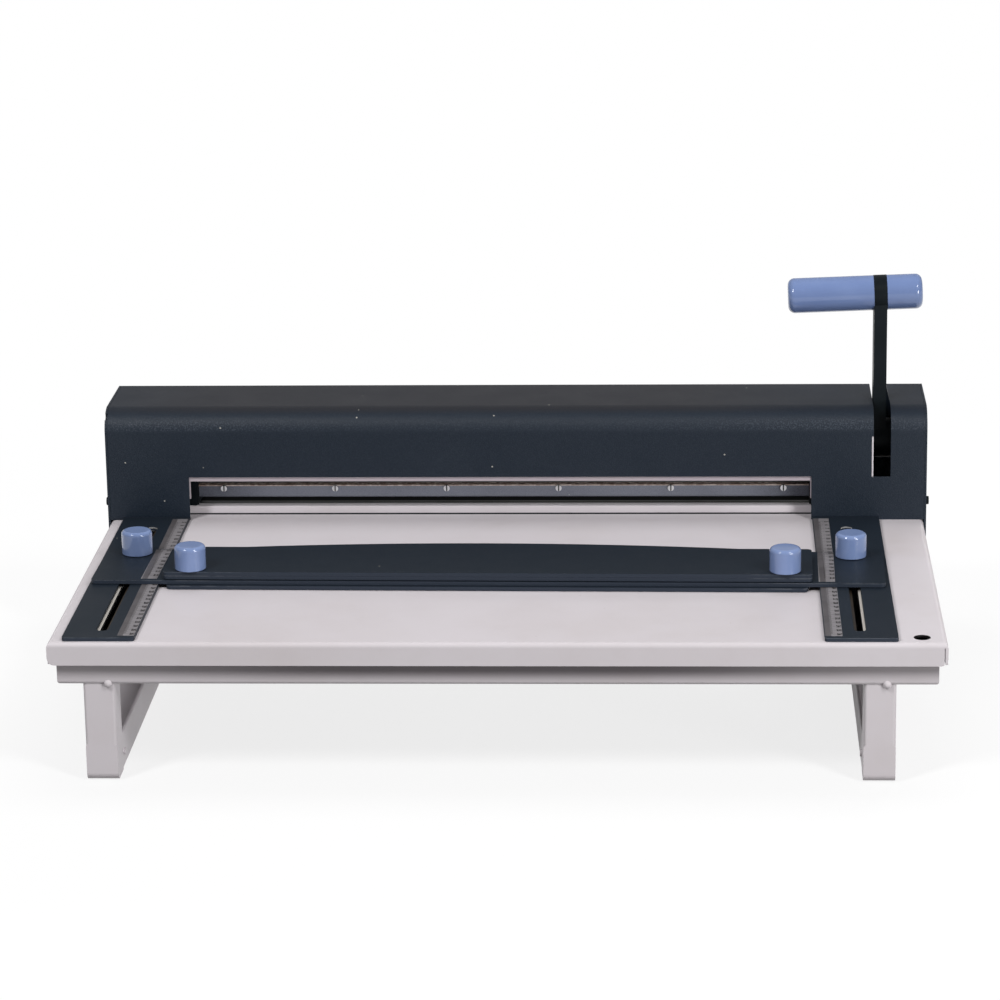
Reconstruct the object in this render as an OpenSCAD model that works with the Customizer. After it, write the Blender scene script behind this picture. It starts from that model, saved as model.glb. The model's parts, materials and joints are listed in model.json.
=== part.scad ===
// Desktop paper creasing machine with a hand lever, a sliding stop gauge and a folded steel table.
// Millimetres. X runs to the right, Y to the back, Z up; the floor is Z = 0.
// The origin is on the floor, in the middle of the machine's width and depth.

/* [Table] */
// Width of the table
table_w = 700; // [640:5:800]
// Height of the table's top above the floor
table_z = 116.2; // [100:0.1:160]
// Depth of the table from its front edge to the cover's face
feed_depth = 341; // [320:1:420]
// Thickness of the table's sheet
sheet_t = 2; // [1:0.5:3]
// Height of the folded lip round the table
lip_h = 18.6; // [12:0.1:30]
// Outside radius of the folded edges
fold_r = 4; // [3.5:0.5:8]
// Diameter of the accessory hole in the table's front corner
corner_hole_d = 13.2; // [6:0.1:16]

/* [Base frame] */
// Height of the base frame's lower edge below the table's top
base_drop = 35.8; // [28:0.1:60]
// Distance of the base frame's sides in from the table's sides
base_side_inset = 6.5; // [4:0.5:20]
// Distance of the base frame's face back from the table's front edge
base_front_inset = 5.4; // [3:0.1:20]
// Wall of the base frame
base_wall = 1.5; // [1.2:0.1:3]

/* [Legs] */
// Distance of each leg frame's nominal centre in from the table's side
leg_inset = 45.2; // [38:0.1:80]
// Sideways shift of both leg frames from their nominal centres
leg_shift = -6.4; // [-8:0.1:8]
// Width of the leg tube, along X
tube_w = 25; // [20:1:35]
// Depth of a leg's posts, along Y
post_d = 28; // [20:1:35]
// Height of a leg's floor rail
rail_h = 30.5; // [20:0.5:40]
// Wall of the leg tube
tube_wall = 1.8; // [1:0.1:2.4]
// Outside corner radius of the leg tube
tube_r = 2.5; // [2.5:0.5:5]

/* [Cover] */
// How far the cover's sheet reaches past the table's side, at each end
cover_past = 0.4; // [0.2:0.1:3]
// Thickness of the two side plates
side_t = 2; // [1:0.5:4]
// Height of the cover above the table's top
cover_h = 97; // [92:1:140]
// Depth of the cover from front to back
cover_d = 91; // [88:1:140]
// Outside radius along the cover's front top edge
cover_r = 20; // [10:1:40]
// Thickness of the cover's sheet
cover_t = 1.5; // [1:0.5:2.5]
// Distance of the feed mouth's ends from the table's sides, with the mouth in the middle
mouth_inset = 82.3; // [81:0.1:120]
// Height of the feed mouth above the table
mouth_h = 38.3; // [36:0.1:45]
// Sideways place of the mouth's middle
mouth_x = -13.4; // [-20:0.1:0]
// Width of the lever's slot in the cover
lever_slot_w = 14.6; // [13.6:0.2:20]
// Height of the lever slot's lower end above the table
lever_slot_low = 38; // [30:1:46]

/* [Creasing bed] */
// Sideways place of the mechanism's middle
mech_x = -11.5; // [-18:0.5:-4]
// Distance of the end plates' inner faces from the table's sides, with the mechanism in the middle
mech_inset = 64; // [62:0.5:70]
// Thickness of each end plate
end_plate_t = 8; // [5:0.5:12]
// Distance from the cover's face back to the bed's front
bed_back = 20; // [18:0.5:22]
// Depth of the bed from front to back
bed_d = 36; // [34:1:40]
// Height of the bed's top above the table's top
bed_rise = 6.9; // [5:0.1:8]
// Width of the grooved matrix strip let into the bed
matrix_w = 8; // [6:0.5:12]
// Width of the creasing groove
groove_w = 1.6; // [1.4:0.1:2.5]
// Depth of the creasing groove
groove_h = 1; // [1:0.1:1.4]

/* [Press beam] */
// Clear height between the bed and the raised blade
throat_h = 5.3; // [4.5:0.1:7.5]
// Thickness of the creasing blade
blade_t = 1; // [0.5:0.1:1.2]
// How far the blade stands below its clamp bar
blade_out = 1.5; // [1:0.1:1.8]
// Depth of the clamp bar from front to back
clamp_d = 8; // [6:0.5:10]
// Height of the clamp bar
clamp_h = 10.9; // [8:0.1:12]
// Thickness of the press beam
beam_t = 14; // [10:0.5:14]
// Height of the press beam
beam_h = 31; // [26:0.5:31]
// Number of clamp screws along the blade
blade_screws_n = 6; // [4:1:7]
// Distance from each end of the blade to its nearest clamp screw
blade_screw_in = 22; // [8:0.5:40]
// Diameter of a clamp screw's head
blade_screw_d = 5.4; // [4:0.2:7]

/* [Shaft and cams] */
// Diameter of the main shaft
shaft_d = 14; // [10:0.5:16]
// Distance from the cover's face back to the shaft's axis
shaft_back = 45; // [44:0.5:46]
// Swing of the lever from upright, in degrees
lever_swing = 85; // [60:1:88]
// Radius of the cams' base circle
cam_r = 12; // [11:0.5:13]
// Width of each cam
cam_w = 12; // [8:0.5:16]
// Distance from an end plate to the middle of the nearer cam
cam_inset = 105; // [60:1:140]

/* [Lever] */
// Distance from the table's right side to the lever's middle
lever_inset = 36.7; // [34:0.1:39]
// Thickness of the lever's flat bar
arm_t = 11; // [8:0.5:12]
// Width of the lever's flat bar
arm_w = 25; // [18:0.5:28]
// Distance from the shaft's axis to the handle's axis
lever_reach = 128; // [110:0.5:160]
// Diameter of the handle
grip_d = 30; // [24:0.5:34]
// Length of the handle's long grip, left of the bar
long_grip = 73.4; // [50:0.1:90]
// Length of the handle's short grip, right of the bar
short_grip = 30.2; // [20:0.1:34]
// Lean of the handle from level, in degrees
handle_lean = 2; // [0:0.5:4]

/* [Guides] */
// Sideways place of the middle between the two guide plates
gauge_x = -13.2; // [-20:0.1:-4]
// Distance of the guide plates' inner edges from the table's sides, with the gauge in the middle
guide_inset = 81.7; // [78:0.1:95]
// Width of each guide plate
guide_w = 56.9; // [52:0.1:60]
// Thickness of each guide plate
guide_t = 3.2; // [2.5:0.1:4]
// Distance from the table's front edge back to the guide plates
guide_front = 4; // [2:0.5:12]
// Width of the slide slot in each guide plate
slot_w = 9.5; // [8:0.1:12]
// Distance from a guide plate's front edge to its slide slot
slot_start = 17.5; // [12:0.5:25]
// Distance from the slide slot's rear end to the guide plate's rear edge
slot_end = 31.7; // [20:0.1:60]
// Width of the steel rulers
ruler_w = 13.2; // [10:0.1:15]
// Thickness of the steel rulers
ruler_t = 0.5; // [0.4:0.1:1]

/* [Stop gauge] */
// Distance of the cross bar's ends from the table's sides, with the bar in the middle
bar_inset = 27.2; // [25:0.1:30]
// Depth of the cross bar from front to back
bar_d = 87.8; // [80:0.1:110]
// Thickness of the cross bar and of the stop gauge's other plates
plate_t = 3.2; // [2.5:0.1:4]
// Distance from the cover's face forward to the cross bar's front edge at rest
bar_reach = 201.8; // [190:0.1:220]
// Skew that the gauge was left with, its right end forward, in degrees
gauge_skew = 0.9; // [0:0.1:1.2]
// Distance of the stop plates' ends from the table's sides, with the gauge in the middle
stop_inset = 86; // [84:0.5:100]
// Depth of the hold-down plate at its two ends
hold_d = 71.8; // [65:0.1:80]
// Rise of the hold-down plate's curved back edge in its middle
hold_rise = 13.1; // [5:0.1:20]
// Length of the straight stretch at each end of that edge
hold_flat = 59.5; // [40:0.5:100]
// Distance of the nut plate's ends from the table's sides, with the gauge in the middle
nut_plate_inset = 89.5; // [86:0.5:98]
// Travel of the stop plates on the bar, each way from their middle
stop_travel = 5; // [2:0.5:6]

/* [Knobs] */
// Diameter of the clamp knobs
knob_d = 25.5; // [20:0.5:30]
// Height of the clamp knobs
knob_h = 20; // [16:0.5:26]
// Radius along the top edge of the knobs
knob_r = 3.2; // [2:0.2:5]
// Diameter of the clamp studs
stud_d = 4; // [3:0.2:4.4]
// Distance of the stop knobs from the table's sides, with the gauge in the middle
stop_knob_inset = 108; // [105:0.5:130]

/* [Hidden] */
$fn = 64;

// Overrun of every cut, and the clearances that the fits share
over = 1;
slide_gap = 0.3;
run_gap = 0.05;
seat_gap = 0.02;
screw_gap = 0.1;

// Planes that the pieces share
machine_d = feed_depth + cover_d;
cover_w = table_w + 2 * cover_past;
front_y = -machine_d / 2;
face_y = front_y + feed_depth;
rear_y = front_y + machine_d;
side_low = table_z - lip_h;
base_low = table_z - base_drop;
base_top = table_z - sheet_t;
base_front = front_y + base_front_inset;
dome_h = 2.2;
base_back = rear_y - dome_h - slide_gap;
base_half = table_w / 2 - base_side_inset;

// Table edges
bed_seam = 1.5;
table_back = face_y + bed_back - bed_seam;
lip_slit_w = 0.6;
lip_slit_in = 2.3;
lip_corner_r = 6;
corner_hole_in = 19.5;
corner_hole_back = 15.5;

// Base frame
base_corner_r = 3;

// Legs: a post's top reaches up behind the base frame's wall
post_grip = 14;
leg_corner_r = 6;
leg_span = table_w - 2 * leg_inset;
leg_x = [leg_shift - leg_span / 2, leg_shift + leg_span / 2];
leg_front = base_front + base_wall + screw_gap;
leg_back = base_back - base_wall - screw_gap;
dome_r = 3.2;
dome_in = 1.2;
dome_x = leg_span / 2 - dome_in;
dome_rise = 0.5;
dome_shank_r = 1.9;
dome_z = base_low + dome_rise;
dome_shank_l = base_wall + screw_gap + tube_wall + base_wall;
rivet_r = 2.8;
rivet_h = 1.4;
rivet_shank_r = 1.5;
rivet_z = 13.5;

// Cross member under the bed
cross_lap = 4;
cross_front = face_y + bed_back - cross_lap;
cross_back = face_y + bed_back + bed_d + cross_lap;
cross_low = base_low + base_wall;
cross_wall = 2.5;

// Widths that follow the table
mouth_w = table_w - 2 * mouth_inset;
mech_w = table_w - 2 * mech_inset;
guide_gap = table_w - 2 * guide_inset;
bar_l = table_w - 2 * bar_inset;
stop_l = table_w - 2 * stop_inset;
hold_curve_l = stop_l - 2 * hold_flat;
nut_plate_l = table_w - 2 * nut_plate_inset;
stop_knob_span = table_w - 2 * stop_knob_inset;
lever_x = table_w / 2 - lever_inset;

// Heights of the creasing mechanism
bed_top = table_z + bed_rise;
bed_front = face_y + bed_back;
blade_tip = bed_top + throat_h;
clamp_low = blade_tip + blade_out;
groove_play = 0.2;
stroke = throat_h + groove_h - groove_play;
clamp_back = 4.5;
clamp_edge = 1.2;
clamp_y = bed_front + clamp_back;
blade_y = clamp_y + clamp_d;
beam_y = blade_y + blade_t;
beam_play = 0.4;
beam_low = clamp_low + beam_play;
beam_top = beam_low + beam_h;
matrix_t = 2.5;
bed_edge_r = 1.2;

// Shaft and cams; the lift grows evenly with the lever's angle
shaft_r = shaft_d / 2;
shaft_y = face_y + shaft_back;
pad_t = 3.6;
pad_l = 18;
pad_w = 12;
pad_top = beam_top + pad_t;
shaft_z = pad_top + slide_gap + cam_r;
swing_rad = lever_swing * PI / 180;
cam_rate = stroke / swing_rad;
cam_spare = 8;
cam_return = 160;
cam_steps = 72;
cam_hub_step = 0.7;
cam_hub_r = cam_r - cam_hub_step;
cam_hub_l = 10;
pin_r = 2;
collar_wall = 5;
collar_r = shaft_r + collar_wall;
collar_l = 8;
bush_wall = 3;
bush_lip = 3;
bush_lip_t = 2;

// End plates, guard plate and guide blocks
plate_in = [mech_x - mech_w / 2, mech_x + mech_w / 2];
cam_x = [plate_in[0] + cam_inset, plate_in[1] - cam_inset];
plate_out = [plate_in[0] - end_plate_t, plate_in[1] + end_plate_t];
end_plate_nose = 13;
end_plate_step = 3;
end_plate_rear = 84;
end_plate_over = 6;
end_plate_top = shaft_z + shaft_r + bush_wall + end_plate_over;
guard_t = 2;
guard_low = 34.2;
guard_drop = 27;
guard_high = cover_h - guard_drop;
guard_leg_low = 18.5;
guard_show = 1;
guard_side = 12;
guard_in = [mouth_x - mouth_w / 2 + guard_show, mouth_x + mouth_w / 2 - guard_show];
block_w = 21;
block_front = 2;
block_h = 27;
block_floor = 5;
block_end = 4;
block_foot = 5;
beam_end_gap = 0.5;
tongue_rise = 15;
spring_r = 5;
spring_wire = 1.2;
spring_turns = 5;
spring_sides = 6;
spring_steps = 10;
m5_r = 2.5;
m5_head_r = 4.2;
m5_head_h = 4;
m4_r = 2;
m4_head_r = 3.6;
m4_head_h = 2.6;
block_screw_sink = 4.6;

// Lever and handle
hub_wall = 10;
hub_r = shaft_r + hub_wall;
hub_side = 5;
rod_r = 4;
rod_end = 12;
grip_r = grip_d / 2;
grip_end_r = 6;
head_proud = 0.2;
lever_top_z = shaft_z + lever_reach;

// Rear deck, covers and brackets
deck_t = 2;
deck_low = 0.2;
deck_gap = 1;
rear_flange = 14;
rear_bottom = 3;
rear_slot_h = 15;
bracket_t = 3;
bracket_h = 28;
bracket_w = 13;
bracket_back = 5;
side_screw_h = 14;
side_screw_back = 79;
side_in = cover_w / 2 + screw_gap;
slot_mid_step = 1;
slot_mid = lever_x + slot_mid_step;
relief_r = 3.3;

// Guides and rulers
guide_l = feed_depth - guide_front - slide_gap;
slot_l = guide_l - slot_start - slot_end;
guide_y = front_y + guide_front;
guide_in = [gauge_x - guide_gap / 2, gauge_x + guide_gap / 2];
slot_edge = 28;
slot_x = [guide_in[0] - slot_edge, guide_in[1] + slot_edge];
slot_ledge = 2.45;
ruler_edge = 0.6;
ruler_front = 5.2;
ruler_end = 7.2;
guide_corner_r = 2.5;

// Stop gauge: four plates on each other, with room between the ones that slide
bar_low = table_z + guide_t + slide_gap;
bar_top = bar_low + plate_t;
stop_low = bar_top + slide_gap;
hold_low = stop_low + plate_t;
hold_top = hold_low + plate_t;
nut_plate_low = bar_low - plate_t;
bar_y = face_y - bar_reach;
bar_corner_r = 4;
stop_back = 1.7;
stop_y = bar_y + stop_back;
stop_d = 61.8;
nut_plate_out = 4;
nut_plate_d = 86.5;
bar_ruler_front = 4.5;
bar_ruler_end = 0.8;
rivet_back = 40;
rivet_span_share = 0.3;
bar_rivet_r = 2;

// Knobs and studs
slide_knob_in = 11.4;
slide_knob_y = bar_y + bar_d - slide_knob_in;
stop_knob_in = 10;
stop_knob_y = stop_y + stop_knob_in;
knob_x = [gauge_x - stop_knob_span / 2, gauge_x + stop_knob_span / 2];
knob_lift = 0.3;
knob_wall = 2.5;
knob_hollow = 12;
knob_boss_r = 5;
knob_foot_r = 0.6;
stud_grip = 14;
stud_r = stud_d / 2;
nut_w = 16;
nut_l = 26;
nut_t = 4;
nut_low = table_z - sheet_t - slide_gap - nut_t;
stud_tip = 1;
bush_r = slot_w / 2 - slide_gap;

dark_paint = [0.17, 0.21, 0.26];
pale_paint = [0.82, 0.79, 0.79];
plate_paint = [0.15, 0.18, 0.22];
knob_blue = [0.50, 0.60, 0.83];
bare_steel = [0.62, 0.63, 0.65];
ruler_steel = [0.55, 0.54, 0.54];
black_part = [0.07, 0.07, 0.08];
bronze = [0.72, 0.53, 0.30];

// A block from its low corner to its high corner
module block(low, high) {
    translate(low) cube(high - low);
}

// A profile drawn in Y and Z, extruded along X
module along_x(x0, x1) {
    translate([x0, 0, 0]) rotate([90, 0, 90]) linear_extrude(x1 - x0) children();
}

// A profile drawn in X and Z, extruded along Y
module along_y(y0, y1) {
    translate([0, y1, 0]) rotate([90, 0, 0]) linear_extrude(y1 - y0) children();
}

// A rod along X, Y or Z from one end to the other
module rod_x(r, x0, x1, y, z) {
    translate([x0, y, z]) rotate([0, 90, 0]) cylinder(h = x1 - x0, r = r);
}

module rod_y(r, x, y0, y1, z) {
    translate([x, y1, z]) rotate([90, 0, 0]) cylinder(h = y1 - y0, r = r);
}

module rod_z(r, x, y, z0, z1) {
    translate([x, y, z0]) cylinder(h = z1 - z0, r = r);
}

// A rectangle with four round corners, from its low corner to its high corner
module round_rect(low, high, r) {
    translate([low[0] + r, low[1]]) square([high[0] - low[0] - 2 * r, high[1] - low[1]]);
    translate([low[0], low[1] + r]) square([high[0] - low[0], high[1] - low[1] - 2 * r]);
    for (x = [low[0] + r, high[0] - r], y = [low[1] + r, high[1] - r]) translate([x, y]) circle(r);
}

// A rectangle with its two upper corners round
module round_top(low, high, r) {
    square_from(low, [high[0], high[1] - r]);
    square_from([low[0] + r, low[1]], [high[0] - r, high[1]]);
    for (x = [low[0] + r, high[0] - r]) translate([x, high[1] - r]) circle(r);
}

// A rectangle with its two lower corners round
module round_foot(low, high, r) {
    square_from([low[0], low[1] + r], high);
    square_from([low[0] + r, low[1]], [high[0] - r, high[1]]);
    for (x = [low[0] + r, high[0] - r]) translate([x, low[1] + r]) circle(r);
}

// A rectangle with only its upper corner at the low side round
module round_nose(low, high, r) {
    square_from(low, [high[0], high[1] - r]);
    square_from([low[0] + r, low[1]], high);
    translate([low[0] + r, high[1] - r]) circle(r);
}

module square_from(low, high) {
    translate(low) square([high[0] - low[0], high[1] - low[1]]);
}

// A slot along Y with round ends
module slot_y(w, x, y0, y1) {
    square_from([x - w / 2, y0 + w / 2], [x + w / 2, y1 - w / 2]);
    for (y = [y0 + w / 2, y1 - w / 2]) translate([x, y]) circle(w / 2);
}

// The block that a folded tray is cut from: round along its front and side top edges
module tray_block(inset, low) {
    half = table_w / 2 - inset;
    r = fold_r - inset;
    intersection() {
        along_x(-half, half)
            round_nose([front_y + inset, low], [table_back + (inset > 0 ? over : 0), table_z - inset], r);
        along_y(front_y, table_back + over)
            round_top([-half, low], [half, table_z - inset], r);
    }
}

module table_top() {
    lip_low = table_z - lip_h;
    color(pale_paint) difference() {
        tray_block(0, lip_low);
        tray_block(sheet_t, lip_low - over);
        for (s = [-1, 1]) lip_corner(s, lip_low);
        block([table_w / 2 - lip_slit_in - lip_slit_w, front_y - over, lip_low - over],
            [table_w / 2 - lip_slit_in, front_y + sheet_t + over, table_z - fold_r]);
        block([-table_w / 2 - over, front_y + lip_slit_in, lip_low - over],
            [-table_w / 2 + sheet_t + over, front_y + lip_slit_in + lip_slit_w, table_z - fold_r]);
        for (x = slot_x)
            translate([0, 0, table_z - sheet_t - over]) linear_extrude(sheet_t + 2 * over)
                slot_y(slot_w - 2 * slot_ledge, x, slot_y0() + slot_ledge, slot_y1() - slot_ledge);
        rod_z(corner_hole_d / 2, table_w / 2 - corner_hole_in, front_y + corner_hole_back,
            table_z - sheet_t - over, table_z + over);
    }
}

// What rounds a lower corner of the front lip
module lip_corner(side, low) {
    edge = side * table_w / 2;
    along_y(front_y - over, front_y + fold_r) difference() {
        square_from([min(edge - side * lip_corner_r, edge + side * over), low - over],
            [max(edge - side * lip_corner_r, edge + side * over), low + lip_corner_r]);
        translate([edge - side * lip_corner_r, low + lip_corner_r]) circle(lip_corner_r);
        translate([edge - side * lip_corner_r, low + lip_corner_r]) rotate(side > 0 ? 90 : 0)
            square(lip_corner_r);
    }
}

function slot_y0() = guide_y + slot_start;
function slot_y1() = slot_y0() + slot_l;

// A shallow pan under the table, with round edges and holes for the legs' posts
module base_frame() {
    inner = base_half - base_wall;
    color(pale_paint) difference() {
        intersection() {
            along_y(base_front, base_back)
                round_foot([-base_half, base_low], [base_half, base_top], base_corner_r);
            along_x(-base_half, base_half)
                round_foot([base_front, base_low], [base_back, base_top], base_corner_r);
        }
        block([-inner, base_front + base_wall, base_low + base_wall], [inner,
            base_back - base_wall, base_top + over]);
        for (x = leg_x, y = post_y())
            block([x - tube_w / 2 - screw_gap, y - screw_gap, base_low - over],
                [x + tube_w / 2 + screw_gap, y + post_d + screw_gap, base_low + base_wall + over]);
        for (s = [-1, 1]) rod_y(dome_shank_r + screw_gap, s * dome_x, base_front - over,
            base_back + over, dome_z);
    }
}

function post_y() = [leg_front, leg_back - post_d];

// A square box section across the frame that carries the bed and the end plates, notched for the rear posts
module cross_member() {
    half = base_half - base_wall - screw_gap;
    color(pale_paint) difference() {
        along_x(-half, half) difference() {
            square_from([cross_front, cross_low], [cross_back, base_top]);
            square_from([cross_front + cross_wall, cross_low + cross_wall],
                [cross_back - cross_wall, base_top - cross_wall]);
        }
        for (x = block_screw_x(), y = block_screw_y()) rod_z(m4_r + screw_gap, x, y,
            base_top - cross_wall - over,
            base_top + over);
        for (x = leg_x) block([x - tube_w / 2 - slide_gap, leg_back - post_d - slide_gap,
            cross_low - over],
            [x + tube_w / 2 + slide_gap, cross_back + over, base_low + post_grip + slide_gap]);
    }
}

// A leg frame: front post, floor rail and rear post of one bent and welded rectangular tube
module leg(x) {
    post_top = base_low + post_grip;
    color(pale_paint) difference() {
        intersection() {
            leg_tube(x, 0, post_top);
            along_x(x - tube_w, x + tube_w)
                round_foot([leg_front, 0], [leg_back, post_top], leg_corner_r);
        }
        leg_tube(x, tube_wall, post_top + over);
        for (y0 = [leg_front - over, leg_back - tube_wall - over])
            rod_y(dome_shank_r + screw_gap, (x > 0 ? 1 : -1) * dome_x, y0,
                y0 + tube_wall + 2 * over, dome_z);
        for (y = rivet_y()) rod_x(rivet_shank_r + screw_gap, rivet_face(x) - tube_wall - over,
            rivet_face(x) + tube_wall + over, y, rivet_z);
    }
}

module leg_tube(x, inset, top) {
    r = tube_r - inset;
    for (y = post_y()) translate([0, 0, inset]) linear_extrude(top - inset)
        round_rect([x - tube_w / 2 + inset, y + inset], [x + tube_w / 2 - inset, y + post_d - inset], r);
    along_y(leg_front + inset, leg_back - inset)
        round_rect([x - tube_w / 2 + inset, inset], [x + tube_w / 2 - inset, rail_h - inset], r);
}

function rivet_face(x) = x > 0 ? x - tube_w / 2 : x + tube_w / 2;
function rivet_y() = [leg_front + post_d + rivet_r, leg_back - post_d - rivet_r];

module leg_screws() {
    color(pale_paint) for (s = [-1, 1]) {
        dome_screw(s * dome_x, base_front, 1);
        dome_screw(s * dome_x, base_back, -1);
    }
}

// A domed screw in a wall at y, its shank pointing along +Y (1) or -Y (-1)
module dome_screw(x, y, way) {
    ball_r = (pow(dome_r, 2) + pow(dome_h, 2)) / (2 * dome_h);
    translate([x, y, dome_z]) rotate([way > 0 ? 90 : -90, 0, 0]) {
        intersection() {
            translate([0, 0, dome_h - ball_r]) sphere(ball_r);
            cylinder(h = dome_h, r = dome_r);
        }
        translate([0, 0, -dome_shank_l]) cylinder(h = dome_shank_l, r = dome_shank_r);
    }
}

module leg_rivets() {
    color(pale_paint) for (x = leg_x, y = rivet_y()) {
        way = x > 0 ? -1 : 1;
        face = rivet_face(x);
        rod_x(rivet_r, min(face, face + way * rivet_h), max(face, face + way * rivet_h), y, rivet_z);
        rod_x(rivet_shank_r, min(face, face - way * tube_wall), max(face, face - way * tube_wall),
            y, rivet_z);
    }
}

// The folded cover over the mechanism: its face, its rounded edge and its top in one sheet
module cover() {
    half = cover_w / 2;
    top = table_z + cover_h;
    color(dark_paint) difference() {
        along_x(-half, half) difference() {
            round_nose([face_y, table_z], [rear_y, top], cover_r);
            round_nose([face_y + cover_t, table_z - over], [rear_y + over, top - cover_t],
                cover_r - cover_t);
        }
        block([mouth_x - mouth_w / 2, face_y - over, table_z - over],
            [mouth_x + mouth_w / 2, face_y + cover_t + over, table_z + mouth_h]);
        lever_slot(table_z + lever_slot_low, face_y - over);
    }
}

// The lever's slot, from a height up and from a depth to the back
module lever_slot(low, front) {
    block([slot_mid - lever_slot_w / 2, front, low], [slot_mid + lever_slot_w / 2, rear_y + over,
        table_z + cover_h + over]);
}

// An end plate of the cover, which hangs past the table's side and has a small relief in its round edge
module side_plate(side) {
    x0 = side > 0 ? side_in : -side_in - side_t;
    relief_mid = cover_r * (1 - cos(45));
    color(dark_paint) difference() {
        along_x(x0, x0 + side_t) difference() {
            round_nose([face_y, side_low], [rear_y, table_z + cover_h], cover_r);
            if (side < 0) translate([face_y + relief_mid,
                table_z + cover_h - relief_mid]) circle(relief_r);
        }
        side_screw_holes(side_in - over, side_in + side_t + over);
    }
}

// Places of the side screws on each end of the cover, as [distance back from the face, height]
function side_screw_spots() = [
    [bracket_back + bracket_w / 2, side_screw_h],
    [side_screw_back, side_screw_h],
];

module side_screw_holes(x0, x1) {
    for (s = [-1, 1], p = side_screw_spots())
        rod_x(m4_r + screw_gap, min(s * x0, s * x1), max(s * x0, s * x1), face_y + p[0], table_z + p[1]);
}

module cover_screws() {
    half = side_in + side_t;
    tip = side_in - bracket_t - over;
    color(black_part) for (s = [-1, 1], p = side_screw_spots()) {
        rod_x(m4_head_r, min(s * half, s * (half + m4_head_h)), max(s * half, s * (half + m4_head_h)),
            face_y + p[0], table_z + p[1]);
        rod_x(m4_r, min(s * tip, s * half), max(s * tip, s * half), face_y + p[0], table_z + p[1]);
    }
}

// Two angles on the table inside the cover's ends, which the front side screws pull against
module cover_brackets() {
    out = cover_w / 2 - screw_gap;
    y0 = face_y + bracket_back;
    color(pale_paint) difference() {
        for (s = [-1, 1]) {
            block([s > 0 ? out - bracket_t : -out, y0, table_z],
                [s > 0 ? out : -out + bracket_t, y0 + bracket_w, table_z + bracket_h]);
            block([s > 0 ? out - bracket_w : -out, y0, table_z],
                [s > 0 ? out : -out + bracket_w, y0 + bracket_w, table_z + bracket_t]);
        }
        side_screw_holes(out - bracket_t - over, out + over);
    }
}

// The back sheet with its own mouth and two flanges folded forward
module rear_cover() {
    half = cover_w / 2 - screw_gap;
    low = table_z + rear_bottom;
    high = table_z + cover_h - cover_t - screw_gap;
    color(dark_paint) difference() {
        block([-half, rear_y - rear_flange, low], [half, rear_y, high]);
        block([-half + cover_t, rear_y - rear_flange - over, low - over], [half - cover_t,
            rear_y - cover_t, high + over]);
        block([mouth_x - mouth_w / 2, rear_y - rear_flange - over, low - over],
            [mouth_x + mouth_w / 2, rear_y + over, table_z + mouth_h]);
        lever_slot(high - rear_slot_h, rear_y - rear_flange - over);
        side_screw_holes(half - cover_t - over, half + over);
    }
}

// The shelf behind the bed that carries the sheet out of the back
module rear_deck() {
    y0 = cross_back - deck_t;
    y1 = base_back;
    top = bed_top - deck_low;
    color(pale_paint) block([plate_in[0] + deck_gap, y0, top - deck_t], [plate_in[1] - deck_gap,
        y1, top]);
    color(pale_paint) for (y = [y0, y1 - deck_t])
        block([plate_in[0] + deck_gap, y, base_top], [plate_in[1] - deck_gap, y + deck_t, top]);
}

// An end plate that carries the shaft, standing on the cross member
module end_plate(side) {
    x0 = side > 0 ? plate_in[1] : plate_out[0];
    x1 = side > 0 ? plate_out[1] : plate_in[0];
    nose = face_y + end_plate_nose;
    color(bare_steel) difference() {
        along_x(x0, x1) union() {
            square_from([bed_front, base_top], [face_y + end_plate_rear, end_plate_top]);
            square_from([nose, table_z + end_plate_step], [face_y + end_plate_rear,
                end_plate_top]);
        }
        rod_x(shaft_r + bush_wall + seat_gap, x0 - over, x1 + over, shaft_y, shaft_z);
        for (y = end_screw_y()) rod_x(m5_r + screw_gap, x0 - over, x1 + over, y, end_screw_z());
        block([x0 - over, base_back - deck_gap, base_top - over], [x1 + over, rear_y,
            base_top + deck_gap]);
    }
}

function end_screw_y() = [bed_front + bed_d / 4, bed_front + bed_d * 3 / 4];
function end_screw_z() = (base_top + bed_top) / 2;

// Screws that hold the end plates to the bed
module frame_screws() {
    color(bare_steel) for (y = end_screw_y()) {
        rod_x(m5_head_r, plate_out[0] - m5_head_h, plate_out[0], y, end_screw_z());
        rod_x(m5_r, plate_out[0], plate_in[0] + end_plate_t, y, end_screw_z());
        rod_x(m5_head_r, plate_out[1], plate_out[1] + m5_head_h, y, end_screw_z());
        rod_x(m5_r, plate_in[1] - end_plate_t, plate_out[1], y, end_screw_z());
    }
}

// The pale plate on the back of the cover's face: a rail over the mouth and a short leg at each end
module guard_plate() {
    y0 = face_y + cover_t + screw_gap;
    side = mouth_w / 2 + guard_side;
    color(pale_paint) along_y(y0, y0 + guard_t) difference() {
        square_from([mouth_x - side, table_z + guard_leg_low], [mouth_x + side, table_z + guard_high]);
        square_from([guard_in[0], table_z], [guard_in[1], table_z + guard_low]);
    }
}

// The bed under the blade, with a seat for the matrix strip
module bed_bar() {
    color(pale_paint) difference() {
        along_x(plate_in[0] + screw_gap, plate_in[1] - screw_gap) difference() {
            round_nose([bed_front, base_top], [bed_front + bed_d, bed_top], bed_edge_r);
            square_from([crease_y() - matrix_w / 2 - seat_gap, bed_top - matrix_t],
                [crease_y() + matrix_w / 2 + seat_gap, bed_top + over]);
        }
        for (x = block_screw_x(), y = block_screw_y()) rod_z(m4_r + screw_gap, x, y,
            base_top - over, bed_top + over);
        for (y = end_screw_y(), x0 = [plate_in[0] - over, plate_in[1] - end_plate_t - over])
            rod_x(m5_r + screw_gap, x0, x0 + end_plate_t + 2 * over, y, end_screw_z());
    }
}

function crease_y() = blade_y + blade_t / 2;

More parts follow.
